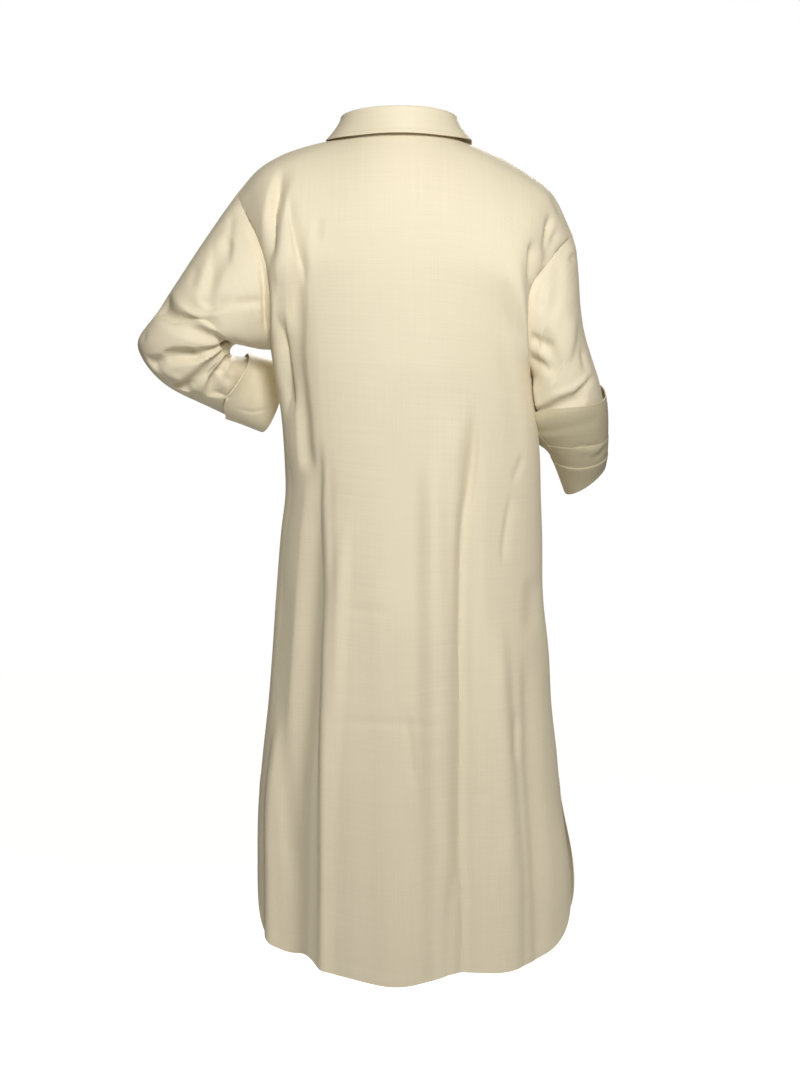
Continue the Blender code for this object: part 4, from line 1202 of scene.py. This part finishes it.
def node_group(name, kind, inputs, outputs):
    """A new node group with its sockets: the group, its input sockets and its output node."""
    group = bpy.data.node_groups.new(name, kind)
    for values in inputs:
        socket(group, *values)
    for values in outputs:
        socket(group, *values, out=True)
    start = group.nodes.new("NodeGroupInput")
    return group, start.outputs, group.nodes.new("NodeGroupOutput")


def new_material(name):
    """A new material with its nodes and its shader."""
    material = bpy.data.materials.new(name)
    material.use_nodes = True
    tree = material.node_tree
    return material, tree, tree.nodes["Principled BSDF"]


def weave_group():
    """Plain weave with uneven yarns: height, a colour change and a roughness change."""
    group = bpy.data.node_groups.get("Cotton weave")
    if group:
        return group
    group, start, end = node_group("Cotton weave", "ShaderNodeTree", (
        ("Place", "NodeSocketVector"),
        ("Thread spacing", "NodeSocketFloat", 0.0006, 0.0001, 0.01),
        ("Colour", "NodeSocketColor", (0.8, 0.7, 0.5, 1)),
        ("Slub colour", "NodeSocketFloat", 0.06, 0.0, 1.0),
        ("Crumple", "NodeSocketFloat", 6.0, 0.0, 50.0),
    ), (
        ("Colour", "NodeSocketColor"),
        ("Height", "NodeSocketFloat"),
        ("Roughness", "NodeSocketFloat"),
    ))
    place = start["Place"]
    split = node(group, "ShaderNodeSeparateXYZ", {0: place})
    rate = math_node(group, "DIVIDE", math.pi, start["Thread spacing"])
    warp, weft = [math_node(group, "SINE", math_node(group, "MULTIPLY", split.outputs[axis], rate))
                  for axis in (0, 1)]
    crossing = math_node(group, "MULTIPLY", warp, weft)
    weave = math_node(group, "MULTIPLY_ADD", crossing, 0.5, 0.5)

    # Slubs are noise drawn out along each direction of the yarns
    slubs = []
    for scale in ((8.0, 520.0, 1.0), (600.0, 6.0, 1.0)):
        stretch = node(group, "ShaderNodeMapping", {0: place, "Scale": scale}, vector_type="POINT")
        noise = node(group, "ShaderNodeTexNoise",
                     {0: stretch.outputs[0], "Scale": 1.0, "Detail": 2.0, "Roughness": 0.55})
        slubs.append(noise.outputs["Fac"])
    slub = math_node(group, "ADD", math_node(group, "ADD", *slubs), -1.0)
    broad = node(group, "ShaderNodeTexNoise",
                 {0: place, "Scale": 5.0, "Detail": 3.0, "Roughness": 0.5})
    broad_change = math_node(group, "MULTIPLY_ADD", broad.outputs["Fac"], 0.10, -0.05)
    slub_change = math_node(group, "MULTIPLY", slub, start["Slub colour"])
    change = math_node(group, "ADD", slub_change, broad_change)
    shade = math_node(group, "ADD", math_node(group, "MULTIPLY_ADD", weave, 0.05, 0.975), change)
    tinted = node(group, "ShaderNodeVectorMath", {0: start["Colour"], "Scale": shade},
                  operation="SCALE")
    height = math_node(group, "MULTIPLY_ADD", slub, 0.6, weave)
    crumple = node(group, "ShaderNodeTexNoise",
                   {0: place, "Scale": 16.0, "Detail": 2.5, "Roughness": 0.45,
                    "Distortion": 0.6})
    height = math_node(group, "MULTIPLY_ADD", crumple.outputs["Fac"], start["Crumple"], height)
    rough = math_node(group, "MULTIPLY_ADD", slub, 0.12, 0.58)
    for name, output in (("Colour", tinted.outputs[0]), ("Height", height), ("Roughness", rough)):
        group.links.new(output, end.inputs[name])
    return group


def cotton(name, colour, slub, sheen, bump, crumple):
    """Soft woven cotton with a satin sheen, its weave on the piece's own cloth places."""
    material = bpy.data.materials.get(name)
    if material:
        return material
    material, tree, shader = new_material(name)
    place = node(tree, "ShaderNodeUVMap", uv_map="cloth")
    weave = tree.nodes.new("ShaderNodeGroup")
    weave.node_tree = weave_group()
    tree.links.new(place.outputs[0], weave.inputs["Place"])
    pitch = bpy.context.scene.robe_cloth.thread_pitch
    weave.inputs["Thread spacing"].default_value = pitch
    weave.inputs["Colour"].default_value = (*colour, 1.0)
    weave.inputs["Slub colour"].default_value = slub
    weave.inputs["Crumple"].default_value = crumple
    tree.links.new(weave.outputs["Colour"], shader.inputs["Base Color"])
    tree.links.new(weave.outputs["Roughness"], shader.inputs["Roughness"])
    relief = node(tree, "ShaderNodeBump", {"Height": weave.outputs["Height"],
                                           "Strength": bump, "Distance": 0.0002})
    tree.links.new(relief.outputs[0], shader.inputs["Normal"])
    shader.inputs["Specular IOR Level"].default_value = 0.30
    shader.inputs["Sheen Weight"].default_value = sheen
    shader.inputs["Sheen Roughness"].default_value = 0.45
    shader.inputs["Sheen Tint"].default_value = (1.0, 0.95, 0.84, 1.0)
    return material


def right_side():
    """Cloth as it looks on the body, sleeves and collar."""
    cloth = bpy.context.scene.robe_cloth
    return cotton("cream cotton", tuple(cloth.colour),
                  slub=0.09, sheen=0.18, bump=0.35, crumple=7.0)


def wrong_side(name):
    """Cloth of a turned-back cuff: the wrong side's colour, painted lighter on the left cuff and
    darker on the right one for how light falls on them.
    """
    cloth = bpy.context.scene.robe_cloth
    # Painted light and shade: a lit copy of the wrong side's colour for the left cuff, a shaded
    # copy for the right cuff and its strip
    painted_light_colour = tuple(part * share for part, share in zip(cloth.shade, CUFF_PAINTED_LIGHT[name]))
    return cotton("cream cotton wrong side " + name, painted_light_colour,
                  slub=0.11, sheen=0.06, bump=0.45, crumple=9.0)


def thread_material():
    """Twisted cotton thread."""
    material = bpy.data.materials.get("sewing thread")
    if material:
        return material
    material, tree, shader = new_material("sewing thread")
    place = tree.nodes.new("ShaderNodeTexCoord")
    noise = node(tree, "ShaderNodeTexNoise",
                 {0: place.outputs["Object"], "Scale": 900.0, "Detail": 1.0})
    colour = (*bpy.context.scene.robe_sewing.colour, 1.0)
    dark = tuple(0.86 * part for part in colour[:3]) + (1.0,)
    mix = node(tree, "ShaderNodeMix", {0: noise.outputs["Fac"], 6: dark, 7: colour},
               data_type="RGBA")
    tree.links.new(mix.outputs[2], shader.inputs["Base Color"])
    shader.inputs["Roughness"].default_value = 0.5
    shader.inputs["Sheen Weight"].default_value = 0.1
    return material


def resin():
    """Cream resin with a faint marbling."""
    material = bpy.data.materials.get("cream resin")
    if material:
        return material
    material, tree, shader = new_material("cream resin")
    place = tree.nodes.new("ShaderNodeTexCoord")
    noise = node(tree, "ShaderNodeTexNoise",
                 {0: place.outputs["Object"], "Scale": 160.0, "Detail": 3.0, "Distortion": 1.5})
    ramp = node(tree, "ShaderNodeValToRGB", {0: noise.outputs["Fac"]})
    colour = tuple(bpy.context.scene.robe_buttons.colour)
    for stop, position, share in zip(ramp.color_ramp.elements, (0.35, 0.70), (0.80, 1.0)):
        stop.position = position
        stop.color = tuple(share * part for part in colour) + (1.0,)
    tree.links.new(ramp.outputs[0], shader.inputs["Base Color"])
    shader.inputs["Roughness"].default_value = 0.28
    shader.inputs["Coat Weight"].default_value = 0.25
    return material


def stitch_group():
    """Stitches along every line of a mesh of edges, turned to the cloth that they lie on."""
    group = bpy.data.node_groups.get("Stitches")
    if group:
        return group
    group, start, end = node_group("Stitches", "GeometryNodeTree", (
        ("Geometry", "NodeSocketGeometry"),
        ("Spacing", "NodeSocketFloat", 0.0032, 0.0005, 0.05),
        ("Length", "NodeSocketFloat", 0.0025, 0.0002, 0.05),
        ("Thickness", "NodeSocketFloat", 0.0004, 0.0001, 0.01),
        ("Seed", "NodeSocketInt", 7),
        ("Material", "NodeSocketMaterial"),
    ), (("Geometry", "NodeSocketGeometry"),))
    curve = node(group, "GeometryNodeMeshToCurve", {0: start["Geometry"]})
    even = node(group, "GeometryNodeResampleCurve", {"Curve": curve.outputs[0]}, mode="LENGTH")
    group.links.new(start["Spacing"], even.inputs["Length"])
    tangent = group.nodes.new("GeometryNodeInputTangent")
    out = node(group, "GeometryNodeInputNamedAttribute", {"Name": "face_out"},
               data_type="FLOAT_VECTOR")
    lengthwise = node(group, "FunctionNodeAlignRotationToVector",
                      {"Vector": tangent.outputs[0]}, axis="X")
    turned = node(group, "FunctionNodeAlignRotationToVector",
                  {"Rotation": lengthwise.outputs[0], "Vector": out.outputs["Attribute"]},
                  axis="Z", pivot_axis="X")
    ball = node(group, "GeometryNodeMeshUVSphere", {"Segments": 8, "Rings": 4, "Radius": 0.5})
    size = node(group, "ShaderNodeCombineXYZ",
                {0: start["Length"], 1: start["Thickness"], 2: start["Thickness"]})
    varied = node(group, "FunctionNodeRandomValue", {"Seed": start["Seed"]},
                  data_type="FLOAT_VECTOR")
    varied.inputs[0].default_value = (0.92, 0.92, 0.92)
    varied.inputs[1].default_value = (1.05, 1.08, 1.08)
    scale = node(group, "ShaderNodeVectorMath", {0: size.outputs[0], 1: varied.outputs[0]},
                 operation="MULTIPLY")
    placed = node(group, "GeometryNodeInstanceOnPoints",
                  {"Points": even.outputs[0], "Instance": ball.outputs[0],
                   "Rotation": turned.outputs[0], "Scale": scale.outputs[0]})
    real = node(group, "GeometryNodeRealizeInstances", {0: placed.outputs[0]})
    smooth = node(group, "GeometryNodeSetShadeSmooth", {0: real.outputs[0]})
    done = node(group, "GeometryNodeSetMaterial",
                {0: smooth.outputs[0], "Material": start["Material"]})
    group.links.new(done.outputs[0], end.inputs[0])
    return group


def stitch_lines(name, lines, seed, pitch=None, length=None):
    """One piece of stitching along several (points, outward) lines."""
    vertices, outs, edges = [], [], []
    for points, outward in lines:
        first = len(vertices)
        vertices.extend(points.tolist())
        outs.extend(unit(outward).tolist())
        edges.extend((first + step, first + step + 1) for step in range(len(points) - 1))
    data = bpy.data.meshes.new(name + " lines")
    data.from_pydata(vertices, edges, [])
    layer = data.attributes.new("face_out", "FLOAT_VECTOR", "POINT")
    layer.data.foreach_set("vector", np.array(outs, dtype=np.float32).reshape(-1))
    guide = linked(name + " lines", data)
    group = stitch_group()
    stitcher = guide.modifiers.new("Stitches", "NODES")
    stitcher.node_group = group
    sewing = bpy.context.scene.robe_sewing
    values = {"Spacing": pitch or sewing.pitch, "Length": length or sewing.length,
              "Thickness": sewing.thickness, "Seed": seed, "Material": thread_material()}
    for item in group.interface.items_tree:
        if item.in_out == "INPUT" and item.name in values:
            stitcher[item.identifier] = values[item.name]
    made = applied(guide)
    made.name = name
    return place_piece(name, made, None)


def sample_rows(points, normals, distance, from_start):
    """The line that lies a set distance in from the first or the last row of a grid."""
    if not from_start:
        points, normals = points[::-1], normals[::-1]
    run = spans(points, 0)
    line, outs = [np.array([[np.interp(distance, run[:, column], grid[:, column, axis])
                             for axis in range(3)] for column in range(grid.shape[1])])
                  for grid in (points, normals)]
    outs = unit(outs)
    return line + STITCH_LIFT * outs, outs


def sample_columns(points, normals, distance, from_start):
    """The line that lies a set distance in from the first or the last column of a grid."""
    return sample_rows(np.swapaxes(points, 0, 1), np.swapaxes(normals, 0, 1),
                       distance, from_start)


class ROBE_OT_panels(bpy.types.Operator):
    """Make the back and front panels of the robe"""
    bl_idname = "robe.panels"
    bl_label = "Back and front panels"

    def execute(self, context):
        wall = context.scene.robe_cloth.wall
        for side, (points, walls) in zip(("back", "front"), body_grids()):
            rise = spans(points, 0)
            turned = 1 - ease((rise - HEM_TURN) / HEM_TURN_EDGE)
            raised = (HEM_TURN_RAISE * turned)[..., None] * walls
            piece = cloth_piece("robe_" + side, points + raised, points - wall * walls - raised,
                                right_side(), [side + "_panel"])
        return {"FINISHED"}


class ROBE_OT_sleeves(bpy.types.Operator):
    """Make both sleeves and their turned-back cuffs"""
    bl_idname = "robe.sleeves"
    bl_label = "Sleeves and cuffs"

    def execute(self, context):
        cloth = context.scene.robe_cloth
        back, front = body_grids()
        for name in SLEEVES:
            points, walls = sleeve_grid(name, back, front)
            piece = cloth_piece("sleeve_cloth_" + name, points, points - cloth.wall * walls,
                                right_side(), ["sleeve_" + name], closed=True)
            inner, directions = cuff_grid(name, (points, walls))
            piece = cloth_piece("rolled_cuff_" + name, inner + cloth.band * directions, inner,
                                wrong_side(name), ["cuff_" + name], closed=True)
        inner, directions = strip_grid(inner, directions, cloth.band)
        piece = cloth_piece("sleeve_strip_right", inner + cloth.wall * directions, inner,
                            wrong_side("right"), ["sleeve_placket_right"])
        return {"FINISHED"}


class ROBE_OT_collar(bpy.types.Operator):
    """Make the collar stand and the turned-down collar fall"""
    bl_idname = "robe.collar"
    bl_label = "Collar"

    def execute(self, context):
        outer, out = stand_grid()
        piece = cloth_piece("collar_band", outer, outer - COLLAR_WALL * out,
                            right_side(), ["collar_stand"])
        outer, normals = fall_grid()
        piece = cloth_piece("collar_leaf", outer, outer - COLLAR_WALL * normals,
                            right_side(), ["collar_fall"])
        return {"FINISHED"}


class ROBE_OT_placket(bpy.types.Operator):
    """Make the strip down the front that carries the buttons"""
    bl_idname = "robe.placket"
    bl_label = "Front placket"

    def execute(self, context):
        inner, walls = placket_grid(body_grids()[1])
        band = context.scene.robe_cloth.band
        piece = cloth_piece("button_placket", inner + band * walls, inner,
                            right_side(), ["front_placket"])
        return {"FINISHED"}


class ROBE_OT_buttons(bpy.types.Operator):
    """Make the four buttons, each with four holes"""
    bl_idname = "robe.buttons"
    bl_label = "Buttons"

    def execute(self, context):
        values = context.scene.robe_buttons
        away = context.scene.robe_cloth.band + SEAM_GAP
        inner, walls = placket_grid(body_grids()[1])
        for number, height in enumerate(BUTTON_HEIGHTS, start=1):
            point, out = placket_place(inner, walls, height)
            turn = Vector(out).to_track_quat("Z", "Y").to_matrix().to_4x4()
            turn.translation = Vector(point + away * out)
            data = button_mesh(values.radius, values.thickness)
            data.transform(turn)
            place_piece("shirt_button_%d" % number, data, resin(),
                        ["button_%d" % number])
        return {"FINISHED"}


def button_mesh(radius, thickness):
    """A round button with a raised rim and four holes."""
    mesh = bmesh.new()
    rings = []
    for out, up in BUTTON_PROFILE:
        angles = [2 * math.pi * side / BUTTON_SIDES for side in range(BUTTON_SIDES)]
        rings.append([mesh.verts.new((out * radius * math.cos(angle),
                                      out * radius * math.sin(angle), up * thickness))
                      for angle in angles])
    for low, high in zip(rings, rings[1:]):
        for side in range(BUTTON_SIDES):
            after = (side + 1) % BUTTON_SIDES
            mesh.faces.new((low[side], low[after], high[after], high[side]))
    mesh.faces.new(rings[0][::-1])
    mesh.faces.new(rings[-1])
    blank = linked("button blank", mesh_data("button blank", mesh))
    holes = bmesh.new()
    for x, y in HOLE_PLACES:
        made = bmesh.ops.create_cone(holes, cap_ends=True, segments=HOLE_SIDES,
                                     radius1=HOLE_RADIUS * radius, radius2=HOLE_RADIUS * radius,
                                     depth=3 * thickness)
        bmesh.ops.translate(holes, verts=made["verts"],
                            vec=(HOLE_OFFSET * radius * x, HOLE_OFFSET * radius * y,
                                 0.5 * thickness))
    drill = linked("button drill", mesh_data("button drill", holes))
    cut = blank.modifiers.new("holes", "BOOLEAN")
    cut.operation = "DIFFERENCE"
    cut.solver = "EXACT"
    cut.object = drill
    made = applied(blank)
    bpy.data.meshes.remove(drill.data)
    made.shade_smooth()
    made.set_sharp_from_angle(angle=math.radians(BUTTON_SHARP_ANGLE))
    return made


def placket_place(inner, walls, height):
    """The place and the outward direction of the placket's middle at a height."""
    middle = inner.shape[1] // 2
    heights = inner[:, middle, 2]
    point, out = [np.array([np.interp(height, heights, grid[:, middle, axis])
                            for axis in range(3)]) for grid in (inner, walls)]
    return point, unit(out)


def buttonhole_lines(inner, walls, band, height):
    """The two worked sides and the two ends of an upright buttonhole under a button."""
    lines = []
    low = height - 0.5 * BUTTONHOLE_LENGTH
    heights = np.linspace(low, low + BUTTONHOLE_LENGTH, BUTTONHOLE_POINTS)
    away = band + STITCH_LIFT
    for across in BUTTONHOLE_SIDES:
        places = [placket_place(inner, walls, z) for z in heights]
        points = np.array([point + away * out + np.array([across, 0, 0])
                           for point, out in places])
        lines.append((points, np.array([out for point, out in places])))
    for z in (heights[0], heights[-1]):
        point, out = placket_place(inner, walls, z)
        ends = np.array([point + away * out + np.array([across, 0, 0])
                         for across in BUTTONHOLE_ENDS])
        lines.append((ends, np.array([out] * len(BUTTONHOLE_ENDS))))
    return lines


def body_lines(back, front):
    """Hem stitches, and a row beside each armhole seam."""
    lines = []
    for points, walls in (back, front):
        lines.append(sample_rows(points, walls, HEM_STITCH_INSET, True))
        low = points.shape[0] - ARM_ROWS
        for from_start in (True, False):
            lines.append(sample_columns(points[low:], walls[low:], SEAM_STITCH_INSET, from_start))
    return lines


def cuff_lines(back, front):
    """Rows round both cuffs, by the free edge and by the fold."""
    band = bpy.context.scene.robe_cloth.band
    lines = []
    for name in SLEEVES:
        inner, directions = cuff_grid(name, sleeve_grid(name, back, front))
        outer = inner + band * directions
        for inset, from_start in ((CUFF_STITCH_INSET, True), (CUFF_FOLD_STITCH_INSET, False)):
            line = sample_rows(outer, directions, inset, from_start)
            lines.append([np.concatenate([values, values[:1]]) for values in line])
    return lines


def collar_lines(front):
    """Rows round the free edges of the collar fall, and down both sides of the placket."""
    outer, normals = fall_grid()
    lines = [sample_rows(outer, normals, COLLAR_STITCH_INSET, False)]
    low = int(FALL_ROWS * ROLL_SHARE)
    for from_start in (True, False):
        lines.append(sample_columns(outer[low:], normals[low:], COLLAR_STITCH_INSET, from_start))
    inner, walls = placket_grid(front)
    face = inner + bpy.context.scene.robe_cloth.band * walls
    for from_start in (True, False):
        lines.append(sample_columns(face, walls, PLACKET_STITCH_INSET, from_start))
    return lines


def vent_lines(back, front):
    """Rows beside the open edges of both vents."""
    lines = []
    for points, walls in (back, front):
        low = points.shape[0] - ARM_ROWS
        for edge in (0, -1):
            rows = points[:low, edge, 2] < VENT_TOP
            lines.append(sample_columns(points[:low][rows], walls[:low][rows],
                                        VENT_STITCH_INSET, edge == 0))
    return lines


def tack_lines(back, front):
    """Bar tacks on top of the vents, and the four buttonholes."""
    lines = []
    for points, walls in (back, front):
        low = points.shape[0] - ARM_ROWS
        for edge, step in ((0, 1), (-1, -1)):
            row = int(np.argmin(np.abs(points[:low, edge, 2] - VENT_TOP)))
            path, outs = [grid[row, ::step][:TACK_COLUMNS] for grid in (points, walls)]
            for higher in range(TACK_LINES):
                raised = path + np.array([0, 0, higher * TACK_PITCH])
                lines.append((raised + (STITCH_LIFT + TACK_LIFT) * outs, outs))
    for height in BUTTON_HEIGHTS:
        lines.extend(buttonhole_lines(*placket_grid(front),
                                      bpy.context.scene.robe_cloth.band, height))
    return lines


class ROBE_OT_stitching(bpy.types.Operator):
    """Sew the hem, vents, armholes, cuffs, collar and placket"""
    bl_idname = "robe.stitching"
    bl_label = "Stitching"

    def execute(self, context):
        back, front = body_grids()
        stitch_lines("body_stitching", body_lines(back, front), seed=3)
        stitch_lines("cuff_stitching", cuff_lines(back, front), seed=5)
        stitch_lines("collar_stitching", collar_lines(front), seed=7)
        stitch_lines("vent_stitching", vent_lines(back, front), seed=9)
        stitch_lines("tacks_and_buttonholes", tack_lines(back, front), seed=11,
                     pitch=TACK_PITCH, length=TACK_LENGTH)
        return {"FINISHED"}


class ROBE_OT_studio(bpy.types.Operator):
    """Set up the floor, the lights and the camera"""
    bl_idname = "robe.studio"
    bl_label = "Studio"

    def execute(self, context):
        values = context.scene.robe_studio
        mesh = bmesh.new()
        bmesh.ops.create_circle(mesh, cap_ends=True, segments=FLOOR_SIDES, radius=FLOOR_RADIUS)
        data = mesh_data("studio_floor", mesh)
        data.transform(Matrix.Translation((0, 0, values.floor_height)))
        floor = linked("studio_floor", data)
        material, tree, shader = new_material("studio floor")
        shader.inputs["Base Color"].default_value = (0.7, 0.7, 0.7, 1)
        shader.inputs["Roughness"].default_value = 0.9
        shader.inputs["Emission Color"].default_value = WHITE
        seen = tree.nodes.new("ShaderNodeLightPath").outputs["Is Camera Ray"]
        glow = math_node(tree, "MULTIPLY", seen, FLOOR_GLOW)
        tree.links.new(glow, shader.inputs["Emission Strength"])
        data.materials.append(material)

        world = bpy.data.worlds.new("studio")
        context.scene.world = world
        world.use_nodes = True
        tree = world.node_tree
        background = tree.nodes["Background"]
        seen = tree.nodes.new("ShaderNodeLightPath").outputs["Is Camera Ray"]
        tint = node(tree, "ShaderNodeMix", {0: seen, 6: ROOM_TINT, 7: WHITE}, data_type="RGBA")
        tree.links.new(tint.outputs[2], background.inputs["Color"])
        strength = math_node(tree, "MULTIPLY_ADD", seen, 1.0 - values.fill, values.fill)
        tree.links.new(strength, background.inputs["Strength"])

        for name, (place, aim, size, share) in LIGHTS.items():
            lamp = bpy.data.lights.new(name, "AREA")
            lamp.shape = "DISK"
            lamp.size = size
            lamp.energy = share * values.key
            light = linked(name, lamp)
            light.visible_camera = False
            light.location = place
            facing = Vector(aim) - Vector(place)
            light.rotation_euler = facing.to_track_quat("-Z", "Y").to_euler()

        camera = bpy.data.cameras.new("camera")
        camera.lens = CAMERA_LENS
        camera.sensor_fit = "VERTICAL"
        camera.sensor_height = SENSOR_HEIGHT
        view = linked("camera", camera)
        view.location = (0.0, values.distance, CAMERA_HEIGHT)
        view.rotation_euler = (math.radians(90), 0, math.radians(180))
        context.scene.camera = view
        context.scene.view_settings.view_transform = "Standard"
        return {"FINISHED"}


class ROBE_PT_panel(bpy.types.Panel):
    """Sizes and colours of the robe, and the steps that make it"""
    bl_idname = "ROBE_PT_panel"
    bl_label = "Thobe robe"
    bl_space_type = "VIEW_3D"
    bl_region_type = "UI"
    bl_category = "Robe"

    def draw(self, context):
        layout = self.layout
        for group in ("robe_cloth", "robe_sewing", "robe_buttons", "robe_studio"):
            values = getattr(context.scene, group)
            box = layout.box()
            for name in values.bl_rna.properties.keys():
                if name not in ("rna_type", "name"):
                    box.prop(values, name)
        for operator in OPERATORS:
            layout.operator(operator.bl_idname)


OPERATORS = (ROBE_OT_panels, ROBE_OT_sleeves, ROBE_OT_collar, ROBE_OT_placket,
             ROBE_OT_buttons, ROBE_OT_stitching, ROBE_OT_studio)
GROUPS = {"robe_cloth": RobeCloth, "robe_sewing": RobeSewing,
          "robe_buttons": RobeButtons, "robe_studio": RobeStudio}


def register():
    for group in GROUPS.values():
        bpy.utils.register_class(group)
    for name, group in GROUPS.items():
        setattr(bpy.types.Scene, name, bpy.props.PointerProperty(type=group))
    for operator in OPERATORS:
        bpy.utils.register_class(operator)
    bpy.utils.register_class(ROBE_PT_panel)


def unregister():
    bpy.utils.unregister_class(ROBE_PT_panel)
    for operator in reversed(OPERATORS):
        bpy.utils.unregister_class(operator)
    for name, group in GROUPS.items():
        delattr(bpy.types.Scene, name)
        bpy.utils.unregister_class(group)


def main():
    register()
    bpy.ops.robe.panels()
    bpy.ops.robe.sleeves()
    bpy.ops.robe.collar()
    bpy.ops.robe.placket()
    bpy.ops.robe.buttons()
    bpy.ops.robe.stitching()
    bpy.ops.robe.studio()


if __name__ == "__main__":
    main()
